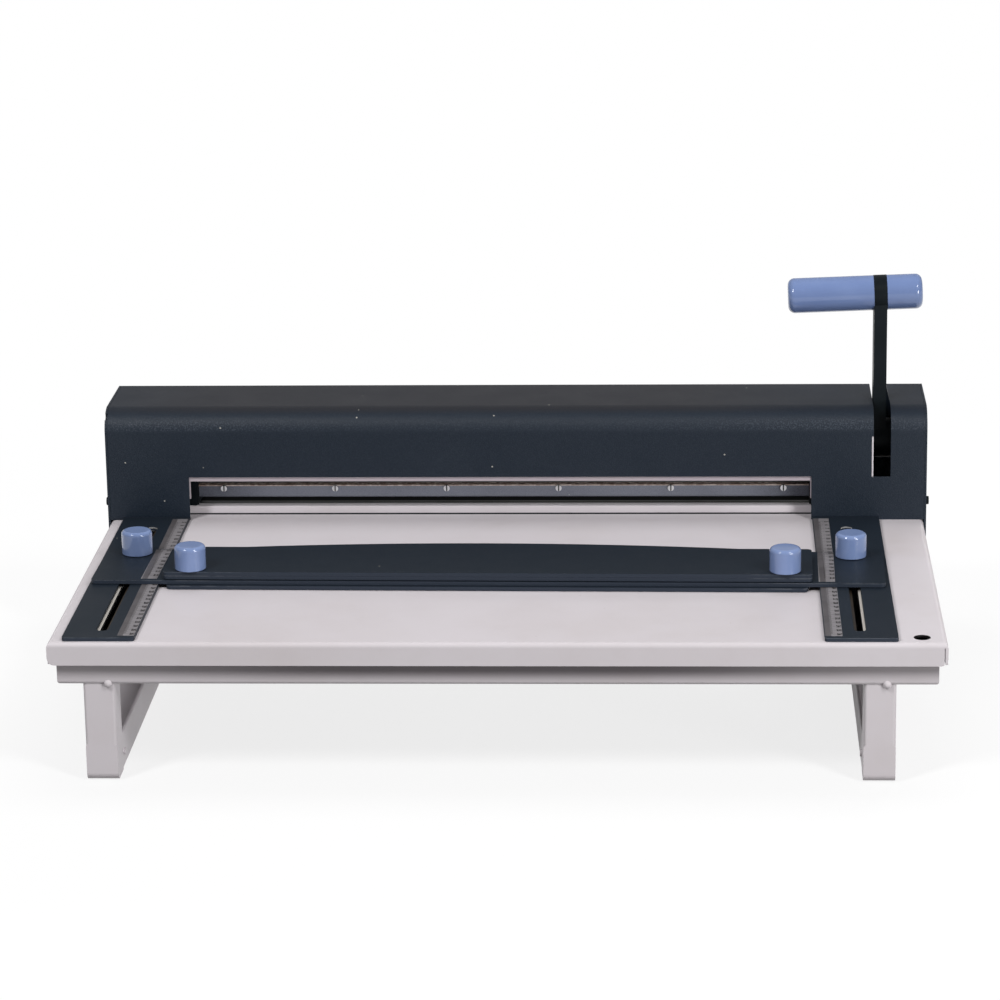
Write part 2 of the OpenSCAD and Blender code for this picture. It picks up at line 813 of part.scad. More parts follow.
module crease_matrix() {
    color(bronze) along_x(plate_in[0] + block_w, plate_in[1] - block_w) difference() {
        square_from([crease_y() - matrix_w / 2, bed_top - matrix_t], [crease_y() + matrix_w / 2,
            bed_top]);
        square_from([crease_y() - groove_w / 2, bed_top - groove_h], [crease_y() + groove_w / 2,
            bed_top + over]);
    }
}

function block_screw_x() = [plate_in[0] + block_w / 2, plate_in[1] - block_w / 2];
function block_screw_y() = [
    (bed_front + block_front + beam_y - slide_gap) / 2,
    (beam_y + beam_t + slide_gap + bed_front + bed_d) / 2,
];

// A black block at the bed's end, whose channel guides the beam's tongue and holds its spring
module guide_block(side) {
    x_out = side > 0 ? plate_in[1] : plate_in[0];
    x_in = x_out - side * block_w;
    end = x_out - side * block_end;
    foot = x_in - side * block_foot;
    color(black_part) difference() {
        union() {
            block([min(x_in, x_out), bed_front + block_front, bed_top], [max(x_in, x_out),
                bed_front + bed_d, bed_top + block_h]);
        }
        block([min(end, x_in - side * over), beam_y - slide_gap, bed_top + block_floor],
            [max(end, x_in - side * over), beam_y + beam_t + slide_gap, bed_top + block_h + over]);
        along_y(bed_front, clamp_y) polygon([
            [x_in - side * over, bed_top - over],
            [x_in + side * block_front, bed_top - over],
            [x_in - side * over, bed_top + block_front + over],
        ]);
        for (y = block_screw_y()) {
            rod_z(m4_r + screw_gap, x_out - side * block_w / 2, y, bed_top - over,
                bed_top + block_h + over);
            rod_z(m4_head_r + screw_gap, x_out - side * block_w / 2, y,
                bed_top + block_h - block_screw_sink,
                bed_top + block_h + over);
        }
    }
}

module block_screws() {
    color(bare_steel) for (x = block_screw_x(), y = block_screw_y()) {
        seat = bed_top + block_h - block_screw_sink;
        rod_z(m4_head_r, x, y, seat, seat + m4_head_h);
        rod_z(m4_r, x, y, base_top - cross_wall, seat);
    }
}

// A return spring: one unbroken wire with its end turns laid flat
module return_spring(x) {
    low = bed_top + block_floor;
    high = beam_low + tongue_rise;
    color(bare_steel) translate([x, beam_y + beam_t / 2, low]) spring(high - low);
}

// Share of the free height reached at a share of the wire's run: flat, then rising, then flat
function spring_rise(u) =
    let (flat_share = 1 / spring_turns, v = (u - flat_share) / (1 - 2 * flat_share))
    min(1, max(0, v));

module spring(h) {
    wire_r = spring_wire / 2;
    coil_r = spring_r - wire_r;
    n = spring_turns * spring_steps;
    centres = [for (i = [0:n]) let (u = i / n, a = 360 * spring_turns * u)
        [coil_r * cos(a), coil_r * sin(a), spring_z(u, h, wire_r), a]];
    points = [for (c = centres, j = [0:spring_sides - 1]) let (b = 360 * j / spring_sides)
        [c[0] + wire_r * cos(b) * cos(c[3]), c[1] + wire_r * cos(b) * sin(c[3]), c[2] + wire_r * sin(b)]];
    sides = [for (i = [0:n - 1], j = [0:spring_sides - 1]) let (k = (j + 1) % spring_sides)
        [i * spring_sides + j, (i + 1) * spring_sides + j, (i + 1) * spring_sides + k,
            i * spring_sides + k]];
    tris = [for (q = sides, t = [0, 1]) t == 0 ? [q[0], q[2], q[1]] : [q[0], q[3], q[2]]];
    caps = [[for (j = [0:spring_sides - 1]) j], [for (j = [spring_sides - 1:-1:0]) n * spring_sides + j]];
    polyhedron(points, concat(tris, caps), convexity = spring_turns * 2);
}

// Height of the wire's middle: the end turns climb by a wire's width, the rest by what is left
function spring_z(u, h, wire_r) =
    let (step = spring_wire * spring_lay_share, turn_share = 1 / spring_turns)
    wire_r + step * min(1, u / turn_share) + step * max(0, (u - 1 + turn_share) / turn_share)
    + (h - 2 * wire_r - 2 * step) * spring_rise(u);

spring_lay_share = 1.05;

// A flanged bearing bush in an end plate
module bushing(side) {
    x0 = side > 0 ? plate_in[1] : plate_out[0];
    lip = side > 0 ? plate_in[1] - bush_lip_t : plate_in[0];
    color(bronze) difference() {
        union() {
            rod_x(shaft_r + bush_wall, x0, x0 + end_plate_t, shaft_y, shaft_z);
            rod_x(shaft_r + bush_wall + bush_lip, lip, lip + bush_lip_t, shaft_y, shaft_z);
        }
        rod_x(shaft_r + run_gap, x0 - end_plate_t, x0 + 2 * end_plate_t, shaft_y, shaft_z);
    }
}

// A dark plate on the table with a long slot and a seat for its ruler
module guide_plate(side) {
    i = side > 0 ? 1 : 0;
    edge = guide_in[i] + side * guide_w;
    color(plate_paint) difference() {
        translate([0, 0, table_z]) linear_extrude(guide_t) difference() {
            round_rect([min(edge, guide_in[i]), guide_y], [max(edge, guide_in[i]),
                guide_y + guide_l], guide_corner_r);
            slot_y(slot_w, slot_x[i], slot_y0(), slot_y1());
        }
        ruler_seat(side, guide_y + ruler_front, guide_y + guide_l - ruler_end, table_z + guide_t);
    }
}

function ruler_x(side) = let (i = side > 0 ? 1 : 0, a = guide_in[i] + side * ruler_edge,
    b = a + side * ruler_w)
    [min(a, b), max(a, b)];

module ruler_seat(side, y0, y1, top) {
    x = ruler_x(side);
    block([x[0] - seat_gap, y0 - seat_gap, top - ruler_t], [x[1] + seat_gap, y1 + seat_gap, top + over]);
}

module ruler(side, y0, y1, top) {
    x = ruler_x(side);
    color(ruler_steel) block([x[0], y0, top - ruler_t], [x[1], y1, top]);
}

module bar_rulers() {
    for (side = [-1, 1]) ruler(side, bar_y + bar_ruler_front, bar_y + bar_d - bar_ruler_end, bar_top);
}

module main_shaft() {
    color(bare_steel) difference() {
        rod_x(shaft_r, shaft_left(), shaft_right(), shaft_y, shaft_z);
        for (x = pin_x()) rod_z(pin_r + seat_gap, x, shaft_y, shaft_z - shaft_d, shaft_z + shaft_d);
    }
}

function shaft_left() = plate_out[0] - collar_l - slide_gap - over;
function shaft_right() = lever_x + arm_t / 2 + hub_side + over;
function pin_x() = [
    cam_x[0] + (cam_w + cam_hub_l) / 2,
    cam_x[1] - (cam_w + cam_hub_l) / 2,
    lever_x,
    plate_out[0] - slide_gap - collar_l / 2,
];

// Distance of the cam's edge from its axis, and its rate, in the direction that faces down at angle a
function cam_reach(a) =
    let (top = lever_swing + cam_spare, t = (a - top) / cam_return)
    a <= top ? cam_r + cam_rate * a * PI / 180
    : t < 1 ? cam_r + cam_rate * (top * hermite_fall(t) + cam_return * hermite_slope(t)) * PI / 180
        : cam_r;
function cam_slope(a) =
    let (top = lever_swing + cam_spare, t = (a - top) / cam_return)
    a <= top ? cam_rate
    : t < 1 ? cam_rate * (top / cam_return * hermite_fall_rate(t) + hermite_slope_rate(t)) : 0;
function hermite_fall(t) = 1 - 3 * t * t + 2 * t * t * t;
function hermite_slope(t) = t - 2 * t * t + t * t * t;
function hermite_fall_rate(t) = 6 * t * t - 6 * t;
function hermite_slope_rate(t) = 1 - 4 * t + 3 * t * t;

// An involute cam: its flat follower drops evenly as the lever comes down
module cam(x, side) {
    outline = [for (i = [0:cam_steps - 1]) let (a = 360 * i / cam_steps, b = -90 - a,
        p = cam_reach(a), q = -cam_slope(a))
        [p * cos(b) - q * sin(b), p * sin(b) + q * cos(b)]];
    hub_x = side > 0 ? x - cam_w / 2 - cam_hub_l : x + cam_w / 2;
    color(bare_steel) difference() {
        union() {
            along_x(x - cam_w / 2, x + cam_w / 2) translate([shaft_y, shaft_z]) polygon(outline);
            rod_x(cam_hub_r, hub_x, hub_x + cam_hub_l, shaft_y, shaft_z);
        }
        rod_x(shaft_r + seat_gap, x - cam_w - cam_hub_l, x + cam_w + cam_hub_l, shaft_y, shaft_z);
        rod_z(pin_r + seat_gap, hub_x + cam_hub_l / 2, shaft_y, shaft_z - shaft_d - cam_hub_r,
            shaft_z + shaft_d + cam_hub_r);
    }
}

module drive_pins() {
    reach = [cam_hub_r, cam_hub_r, hub_r, collar_r];
    color(bare_steel) for (i = [0:len(reach) - 1])
        rod_z(pin_r, pin_x()[i], shaft_y, shaft_z - reach[i] + over,
            shaft_z + (i == 2 ? arm_w / 2 : reach[i] - over));
}

module shaft_collar() {
    x1 = plate_out[0] - slide_gap;
    color(bare_steel) difference() {
        rod_x(collar_r, x1 - collar_l, x1, shaft_y, shaft_z);
        rod_x(shaft_r + seat_gap, x1 - collar_l - over, x1 + over, shaft_y, shaft_z);
        rod_z(pin_r + seat_gap, x1 - collar_l / 2, shaft_y, shaft_z - shaft_d, shaft_z + shaft_d);
    }
}

// Puts what is drawn along Z at the handle's middle, with the handle's axis and lean
module at_handle() {
    translate([lever_x, shaft_y, lever_top_z]) rotate([0, 90 - handle_lean, 0]) children();
}

// The flat bar with a hub on the shaft and a round head between the two grips, faced off beside it
module lever_arm() {
    half = arm_t / 2;
    head = half / cos(handle_lean);
    color(black_part) difference() {
        union() {
            rod_x(hub_r, lever_x - half - hub_side, lever_x + half + hub_side, shaft_y, shaft_z);
            block([lever_x - half, shaft_y - arm_w / 2, shaft_z], [lever_x + half,
                shaft_y + arm_w / 2, lever_top_z]);
            at_handle() translate([0, 0, -head]) cylinder(h = 2 * head, r = grip_r + head_proud);
        }
        for (m = [0, 1]) at_handle() mirror([0, 0, m]) translate([0, 0, head])
            cylinder(h = arm_t, r = grip_r + head_proud);
        at_handle() translate([0, 0, -arm_t]) cylinder(h = 2 * arm_t, r = rod_r + seat_gap);
        rod_x(shaft_r + seat_gap, lever_x - arm_t - hub_side, lever_x + arm_t + hub_side, shaft_y,
            shaft_z);
        rod_z(pin_r + seat_gap, lever_x, shaft_y, shaft_z - hub_r - over, shaft_z + arm_w / 2);
    }
}

module handle_rod() {
    half = arm_t / 2;
    color(bare_steel) at_handle() translate([0, 0, -half - long_grip + rod_end])
        cylinder(h = arm_t + long_grip + short_grip - 2 * rod_end, r = rod_r);
}

// A blue grip with one round end, seated against the bar's head
module grip(length, way) {
    bore = length - rod_end;
    color(knob_blue) at_handle() mirror([0, 0, way < 0 ? 1 : 0]) translate([0, 0,
        arm_t / 2 / cos(handle_lean) + seat_gap])
        difference() {
            rotate_extrude() intersection() {
                round_rect([-grip_r, -length], [grip_r, length], grip_end_r);
                square([grip_r, length]);
            }
            translate([0, 0, -over]) cylinder(h = bore + over, r = rod_r + seat_gap);
        }
}

// The steel beam with a tongue at each end that runs in the guide blocks
module press_beam() {
    body = blade_half();
    tongue = mech_w / 2 - block_end - beam_end_gap;
    color(bare_steel) difference() {
        union() {
            block([mech_x - body, beam_y, beam_low], [mech_x + body, beam_y + beam_t, beam_top]);
            block([mech_x - tongue, beam_y, beam_low + tongue_rise], [mech_x + tongue,
                beam_y + beam_t, beam_top]);
        }
        for (x = blade_screw_x()) rod_y(blade_shank_r() + screw_gap, x, beam_y - over,
            beam_y + beam_t / 2, blade_screw_z());
    }
}

function blade_half() = mech_w / 2 - block_w - beam_end_gap;
function blade_screw_x() = let (span = 2 * (blade_half() - blade_screw_in))
    [for (i = [0:blade_screws_n - 1]) mech_x - span / 2 + span * i / (blade_screws_n - 1)];
function blade_screw_z() = clamp_low + clamp_h - blade_screw_d / 2;
function blade_shank_r() = blade_screw_d / 3;

module crease_blade() {
    half = blade_half();
    tip_r = blade_t * 2 / 5;
    color(bare_steel) difference() {
        along_x(mech_x - half, mech_x + half)
            round_foot([blade_y, blade_tip], [blade_y + blade_t, clamp_low + clamp_h], tip_r);
        for (x = blade_screw_x()) rod_y(blade_shank_r() + screw_gap, x, blade_y - over,
            blade_y + blade_t + over,
            blade_screw_z());
    }
}

module blade_clamp() {
    half = blade_half();
    color(bare_steel) difference() {
        along_x(mech_x - half, mech_x + half) polygon([
            [clamp_y + clamp_edge, clamp_low],
            [blade_y, clamp_low],
            [blade_y, clamp_low + clamp_h],
            [clamp_y, clamp_low + clamp_h],
            [clamp_y, clamp_low + clamp_edge],
        ]);
        for (x = blade_screw_x()) rod_y(blade_shank_r() + screw_gap, x, clamp_y - over,
            blade_y + over, blade_screw_z());
    }
}

module blade_screws() {
    head_h = blade_screw_d * 2 / 5;
    slot = blade_screw_d / 5;
    color(bare_steel) for (x = blade_screw_x()) difference() {
        union() {
            rod_y(blade_screw_d / 2, x, clamp_y - head_h, clamp_y, blade_screw_z());
            rod_y(blade_shank_r(), x, clamp_y, beam_y + beam_t / 3, blade_screw_z());
        }
        block([x - slot / 2, clamp_y - head_h - over, blade_screw_z() - blade_screw_d],
            [x + slot / 2, clamp_y - head_h / 3, blade_screw_z() + blade_screw_d]);
    }
}

// Hardened pads on the beam, under the cams
module wear_pads() {
    color(bare_steel) for (x = cam_x)
        block([x - pad_l / 2, beam_y + (beam_t - pad_w) / 2, beam_top], [x + pad_l / 2,
            beam_y + (beam_t + pad_w) / 2, pad_top]);
}

// Turns the gauge's pieces about the middle between its slide knobs, by the skew it was left with
module on_gauge() {
    translate([gauge_x, slide_knob_y, 0]) rotate(-gauge_skew) translate([-gauge_x, -slide_knob_y, 0])
        children();
}

module cross_bar() {
    color(plate_paint) difference() {
        translate([0, 0, bar_low]) linear_extrude(plate_t)
            round_rect([gauge_x - bar_l / 2, bar_y], [gauge_x + bar_l / 2, bar_y + bar_d], bar_corner_r);
        for (side = [-1, 1]) ruler_seat(side, bar_y + bar_ruler_front,
            bar_y + bar_d - bar_ruler_end, bar_top);
        for (x = slot_x) rod_z(stud_r + screw_gap, x, slide_knob_y, bar_low - over, bar_top + over);
        for (x = knob_x) rod_z(stud_r + screw_gap, x, stop_knob_y, bar_low - over, bar_top + over);
        for (x = bar_rivet_x()) rod_z(bar_rivet_r + seat_gap, x, bar_y + rivet_back,
            bar_low - over, bar_top + over);
    }
}

function bar_rivet_x() = let (step = nut_plate_l * rivet_span_share) [gauge_x - step, gauge_x,
    gauge_x + step];

module nut_plate() {
    color(plate_paint) difference() {
        translate([0, 0, nut_plate_low]) linear_extrude(plate_t)
            round_rect([gauge_x - nut_plate_l / 2, bar_y - nut_plate_out],
                [gauge_x + nut_plate_l / 2, bar_y - nut_plate_out + nut_plate_d], bar_corner_r);
        for (x = knob_x) rod_z(stud_r + run_gap, x, stop_knob_y, nut_plate_low - over, bar_low + over);
        for (x = bar_rivet_x())
            rod_z(bar_rivet_r + seat_gap, x, bar_y + rivet_back, nut_plate_low - over, bar_low + over);
    }
}

module bar_rivets() {
    color(plate_paint) for (x = bar_rivet_x()) rod_z(bar_rivet_r, x, bar_y + rivet_back,
        nut_plate_low, bar_top);
}

// Round bushes that fill the guide slots under the bar
module slide_bushes() {
    color(bare_steel) for (x = slot_x) difference() {
        rod_z(bush_r, x, slide_knob_y, table_z + slide_gap, bar_low);
        rod_z(stud_r + run_gap, x, slide_knob_y, table_z, bar_low + over);
    }
}

// Nuts under the table that the slide knobs pull up
module clamp_nuts() {
    color(bare_steel) for (x = slot_x) difference() {
        block([x - nut_w / 2, slide_knob_y - nut_l / 2, nut_low], [x + nut_w / 2,
            slide_knob_y + nut_l / 2, nut_low + nut_t]);
        rod_z(stud_r + run_gap, x, slide_knob_y, nut_low - over, nut_low + nut_t + over);
    }
}

// The stop that the sheet's edge meets, slotted for the stop studs
module stop_plate() {
    color(plate_paint) translate([0, 0, stop_low]) linear_extrude(plate_t) difference() {
        round_rect([gauge_x - stop_l / 2, stop_y], [gauge_x + stop_l / 2, stop_y + stop_d], bar_corner_r);
        stop_slots();
    }
}

module stop_slots() {
    reach = stop_travel + stud_r + screw_gap;
    for (x = knob_x) slot_y(stud_d + 2 * screw_gap, x, stop_knob_y - reach, stop_knob_y + reach);
}

// The plate over the stop, whose back edge bows towards the blade in its middle
module hold_down_plate() {
    half = hold_curve_l / 2;
    curve_r = (half * half + hold_rise * hold_rise) / (2 * hold_rise);
    back = stop_y + hold_d;
    color(plate_paint) translate([0, 0, hold_low]) linear_extrude(plate_t) difference() {
        union() {
            round_rect([gauge_x - stop_l / 2, stop_y], [gauge_x + stop_l / 2, back], bar_corner_r);
            intersection() {
                translate([gauge_x, back + hold_rise - curve_r]) circle(curve_r, $fn = 360);
                square_from([gauge_x - half, back - bar_corner_r], [gauge_x + half,
                    back + hold_rise + over]);
            }
        }
        stop_slots();
    }
}

// A moulded knob: round top edge, hollow underneath, with a boss for its stud
module knob(x, y, z) {
    r = knob_d / 2;
    color(knob_blue) translate([x, y, z]) rotate_extrude() difference() {
        intersection() {
            union() {
                round_rect([-r, knob_foot_r - knob_h], [r, knob_h], knob_r);
                round_rect([-r, 0], [r, knob_h / 2], knob_foot_r);
            }
            square([r, knob_h]);
            union() {
                square_from([0, knob_foot_r], [r, knob_h]);
                round_rect([-r, 0], [r, knob_h / 2], knob_foot_r);
            }
        }
        square_from([knob_boss_r, -over], [r - knob_wall, knob_hollow]);
        square_from([-over, -over], [stud_r + seat_gap, stud_grip]);
    }
}

module stud(x, y, z0, z1) {
    color(bare_steel) rod_z(stud_r, x, y, z0, z1);
}

slide_knob_z = bar_top + knob_lift;
stop_knob_z = hold_top + knob_lift;

table_top();
base_frame();
cross_member();
leg(leg_x[0]);  // left_leg
leg(leg_x[1]);  // right_leg
leg_screws();
leg_rivets();
cover();
side_plate(-1);  // left_side_plate
side_plate(1);  // right_side_plate
rear_cover();
cover_brackets();
cover_screws();
rear_deck();
end_plate(-1);  // left_end_plate
end_plate(1);  // right_end_plate
frame_screws();
guard_plate();
bed_bar();
crease_matrix();
guide_block(-1);  // left_guide_block
guide_block(1);  // right_guide_block
block_screws();
return_spring(plate_in[0] + (block_w + block_end) / 2);  // left_return_spring
return_spring(plate_in[1] - (block_w +  // right_return_spring
    block_end) / 2);
for (side = [-1, 1]) bushing(side);  // shaft_bushings
guide_plate(-1);  // left_guide_plate
guide_plate(1);  // right_guide_plate
ruler(-1, guide_y + ruler_front, guide_y + guide_l - ruler_end, table_z + guide_t);  // left_ruler
ruler(1, guide_y + ruler_front, guide_y + guide_l - ruler_end, table_z + guide_t);  // right_ruler
main_shaft();
cam(cam_x[0], -1);  // left_cam
cam(cam_x[1], 1);  // right_cam
drive_pins();
shaft_collar();
lever_arm();
handle_rod();
grip(long_grip, -1);  // long_grip_sleeve
grip(short_grip, 1);  // short_grip_sleeve
press_beam();
crease_blade();
blade_clamp();
blade_screws();
wear_pads();
on_gauge() cross_bar();
on_gauge() nut_plate();
on_gauge() bar_rivets();
on_gauge() bar_rulers();
on_gauge() slide_bushes();
on_gauge() clamp_nuts();
on_gauge() stop_plate();
on_gauge() hold_down_plate();
on_gauge() knob(slot_x[0], slide_knob_y, slide_knob_z);  // left_slide_knob
on_gauge() knob(slot_x[1], slide_knob_y, slide_knob_z);  // right_slide_knob
on_gauge() knob(knob_x[0], stop_knob_y, stop_knob_z);  // left_stop_knob
on_gauge() knob(knob_x[1], stop_knob_y, stop_knob_z);  // right_stop_knob
on_gauge() stud(slot_x[0], slide_knob_y, nut_low - stud_tip, slide_knob_z + stud_grip);  // left_slide_stud
on_gauge() stud(slot_x[1], slide_knob_y, nut_low - stud_tip, slide_knob_z + stud_grip);  // right_slide_stud
on_gauge() stud(knob_x[0], stop_knob_y, nut_plate_low, stop_knob_z + stud_grip);  // left_stop_stud
on_gauge() stud(knob_x[1], stop_knob_y, nut_plate_low, stop_knob_z + stud_grip);  // right_stop_stud
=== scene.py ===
import json
import math

import bpy
from mathutils import Matrix, Vector


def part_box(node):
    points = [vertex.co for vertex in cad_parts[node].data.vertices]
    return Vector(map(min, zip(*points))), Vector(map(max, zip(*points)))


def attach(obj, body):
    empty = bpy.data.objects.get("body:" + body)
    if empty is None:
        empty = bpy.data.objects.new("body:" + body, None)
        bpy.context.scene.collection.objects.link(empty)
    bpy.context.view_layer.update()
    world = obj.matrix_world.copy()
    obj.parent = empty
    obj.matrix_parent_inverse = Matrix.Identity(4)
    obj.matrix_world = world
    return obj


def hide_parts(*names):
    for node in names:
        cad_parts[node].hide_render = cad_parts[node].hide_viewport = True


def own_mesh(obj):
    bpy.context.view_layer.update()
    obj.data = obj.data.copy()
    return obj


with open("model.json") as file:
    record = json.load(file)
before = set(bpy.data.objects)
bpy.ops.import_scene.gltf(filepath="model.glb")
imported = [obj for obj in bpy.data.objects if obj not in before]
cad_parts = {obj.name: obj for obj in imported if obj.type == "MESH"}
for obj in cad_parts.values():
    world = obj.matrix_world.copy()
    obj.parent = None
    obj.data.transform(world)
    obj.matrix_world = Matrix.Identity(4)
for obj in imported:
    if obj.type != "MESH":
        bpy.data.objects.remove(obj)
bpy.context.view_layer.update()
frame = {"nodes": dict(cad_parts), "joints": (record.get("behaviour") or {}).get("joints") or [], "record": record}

MM = 0.001

# Places on the machine that the finishes follow, with their painted light and shade, in metres
MOUTH_X = -0.0115
LEVER_SLOT_X = 0.3070
STUD_SLOTS = ((-0.3095, -1), (0.2831, 1))
SLOT_REACH = (-0.1965, 0.0955)
BED_SHADE_FROM = 0.1546
BED_FOOT_SHADE_TO = 0.1166
RUBBED_X = 0.305
CORNER_HOLE = next(m["pos_m"] for m in frame["record"]["mounts"] if m["name"] == "accessory_hole")
CORNER_HOLE_R = 0.007
SLOT_HALF_W = 0.0048
LEVER_RUB_Z = (0.1545, 0.1895)
LEVER_RUB_FRONT_OF = 0.17
SLOT_END_LIGHT_Y = (0.0860, 0.0945)
SLOT_END_LIGHT_Z = (0.1182, 0.1192)
LIP_FOOT_Z = 0.0780
RULER_BANDS = ((-0.2955, -0.2909), (0.2556, 0.2602))

# Name, place, aim, size, watts and whether glossy faces mirror it
TO_FRONT, TO_MIDDLE = (0, -0.05, 0.1), (0, 0.1, 0.1)
SOFT_BOXES = (
    ("left_key", (-1.95, -2.10, 2.90), TO_FRONT, (0.55, 1.3), 72, True),
    ("right_key", (1.95, -2.10, 2.75), TO_FRONT, (0.55, 1.3), 52, True),
    ("low_fill", (2.1, -2.1, 0.5), (0, -0.1, 0.08), (0.8, 0.8), 34, True),
    ("back_fill", (-0.3, 1.7, 2.7), TO_MIDDLE, (1.6, 1.0), 3, False),
    ("rear_fill", (0.7, 2.3, 0.85), TO_MIDDLE, (1.4, 0.8), 28, False),
    ("top_fill", (0.0, 0.45, 1.7), TO_MIDDLE, (1.8, 0.8), 11, False),
)
AIR_LIGHT = 0.12
GLOSS_AIR = 0.35
FLOOR_GLOW = 0.80
FLOOR_BOUNCE = 0.22
FLOOR_SIDE = 60
FLOOR_LOW = 0.2 * MM
FLOOR_PAPER = (0.95, 0.95, 0.95, 1)
SHADOW_MIDDLE_Y = -0.1
SHADOW_FADES = (0.25, 1.2)

# The camera stands a little right of the middle and looks down on the table
LENS_MM = 135.0
SENSOR_MM = 36.0
CAMERA_AT = (0.15806, -2.97170, 1.02039)
LOOK_DOWN = math.radians(15.95)
LOOK_SIDE = math.radians(3.155)
ROLL = math.radians(0.937)


def srgb(red, green, blue):
    """A colour written as 0 to 255, as the shader wants it."""
    def one(c):
        c = c / 255
        return c / 12.92 if c <= 0.04045 else ((c + 0.055) / 1.055) ** 2.4
    return (one(red), one(green), one(blue), 1.0)


PALE = srgb(208, 202, 206)
PALE_SOIL = srgb(184, 174, 172)
# Painted shade inside the base pan
PAN_SHADE = srgb(22, 19, 18)
# Painted shade under the table's lip
LIP_SHADE = srgb(88, 82, 85)
# Painted light and shade in the table's stud slots: a lit ledge with its ribs, a shaded ledge and near-black shade
LEDGE_LIT = srgb(226, 220, 212)
LEDGE_RIB = srgb(120, 112, 104)
SLOT_SHADE = srgb(24, 19, 14)
SLOT_SHADE_LIGHTER = srgb(58, 47, 34)
SLOT_BLACK_SHADE = srgb(12, 11, 10)
# Painted shade in the corner hole
HOLE_SHADE = srgb(20, 16, 18)
# Painted shade where the table meets the bed's foot
SEAM_SHADE = srgb(30, 36, 36)
# Painted shade on the bed behind the crease, mottled
BED_SHADE = srgb(4, 7, 7)
BED_SHADE_LIGHTER = srgb(12, 16, 16)
# A darker pale: painted shade on the liner behind the cover's mouth
LINER_SHADE = srgb(172, 163, 170)
NIGHT = srgb(20, 30, 42)
NIGHT_LIGHT = srgb(42, 50, 60)
# Painted glints on the cover's bend
NIGHT_PAINTED_GLINT = srgb(92, 98, 110)
# Painted highlight on the slots' rear end walls
SLOT_END_HIGHLIGHT = srgb(226, 222, 214)
WORN_EDGE = srgb(112, 116, 122)
# Painted light on the gauge plates' front faces
PLATE_FRONT_LIT = srgb(56, 63, 76)
CRUMB = srgb(176, 173, 166)
PLATE = srgb(21, 29, 38)
PLATE_LIGHT = srgb(40, 46, 54)
# Painted reflection on the cover's upward faces
TOP_REFLECTION = srgb(40, 34, 32)
BLACK = srgb(12, 19, 23)
BLACK_LIGHT = srgb(26, 31, 37)
STEEL = srgb(172, 172, 176)
STEEL_DARK = srgb(120, 118, 118)
OIL_BROWN = srgb(84, 70, 56)
BLUED = srgb(26, 29, 31)
BLUED_DARK = srgb(12, 14, 15)
CLAMP = srgb(148, 153, 165)
# Dull tone of the clamp's face, also its painted shade towards the ends
CLAMP_DULL = srgb(76, 80, 90)
CLAMP_CHIP = srgb(225, 228, 230)
CLAMP_BROWN = srgb(176, 150, 132)
CLAMP_BROWN_PALE = srgb(236, 220, 206)
HEAD_BRIGHT = srgb(250, 251, 252)
HEAD_DULL = srgb(205, 208, 210)
# Painted shade in the screw heads' slots and behind their rims
HEAD_SHADE = srgb(22, 24, 26)
RULER = srgb(152, 148, 151)
RULER_DARK = srgb(92, 88, 90)
INK = srgb(18, 14, 16)
INK_WORN = srgb(48, 44, 46)
BRONZE = srgb(176, 140, 88)
BRONZE_DARK = srgb(112, 84, 52)
KNOB = srgb(122, 141, 183)
KNOB_DEEP = srgb(104, 124, 170)
# A darker copy of the knobs' blue: painted shade for the grips
GRIP_SHADED = srgb(113, 133, 178)
GRIP_SHADED_DEEP = srgb(98, 118, 164)
WHITE = (1.0, 1.0, 1.0, 1.0)


class Num:
    """A shader value. Arithmetic on it adds the Math nodes."""

    def __init__(self, finish, socket):
        self.finish = finish
        self.socket = socket

    def _math(self, operation, *values, clamp=False):
        links = {i: v for i, v in enumerate(values)}
        settings = {"operation": operation, "use_clamp": clamp}
        return Num(self.finish, self.finish.node("ShaderNodeMath", settings, links).outputs[0])

    def __add__(self, other): return self._math("ADD", self, other)
    def __radd__(self, other): return self._math("ADD", other, self)
    def __sub__(self, other): return self._math("SUBTRACT", self, other)
    def __rsub__(self, other): return self._math("SUBTRACT", other, self)
    def __mul__(self, other): return self._math("MULTIPLY", self, other)
    def __rmul__(self, other): return self._math("MULTIPLY", other, self)
    def __gt__(self, other): return self._math("GREATER_THAN", self, other)
    def __lt__(self, other): return self._math("LESS_THAN", self, other)
    def __abs__(self): return self._math("ABSOLUTE", self)
    def fract(self): return self._math("FRACT", self)
    def clip(self): return self._math("ADD", self, 0.0, clamp=True)

    def step(self, low, high):
        """0 below low, 1 above high and smooth between."""
        settings = {"interpolation_type": "SMOOTHSTEP"}
        links = {"Value": self, "From Min": low, "From Max": high}
        return Num(self.finish, self.finish.node("ShaderNodeMapRange", settings, links).outputs[0])


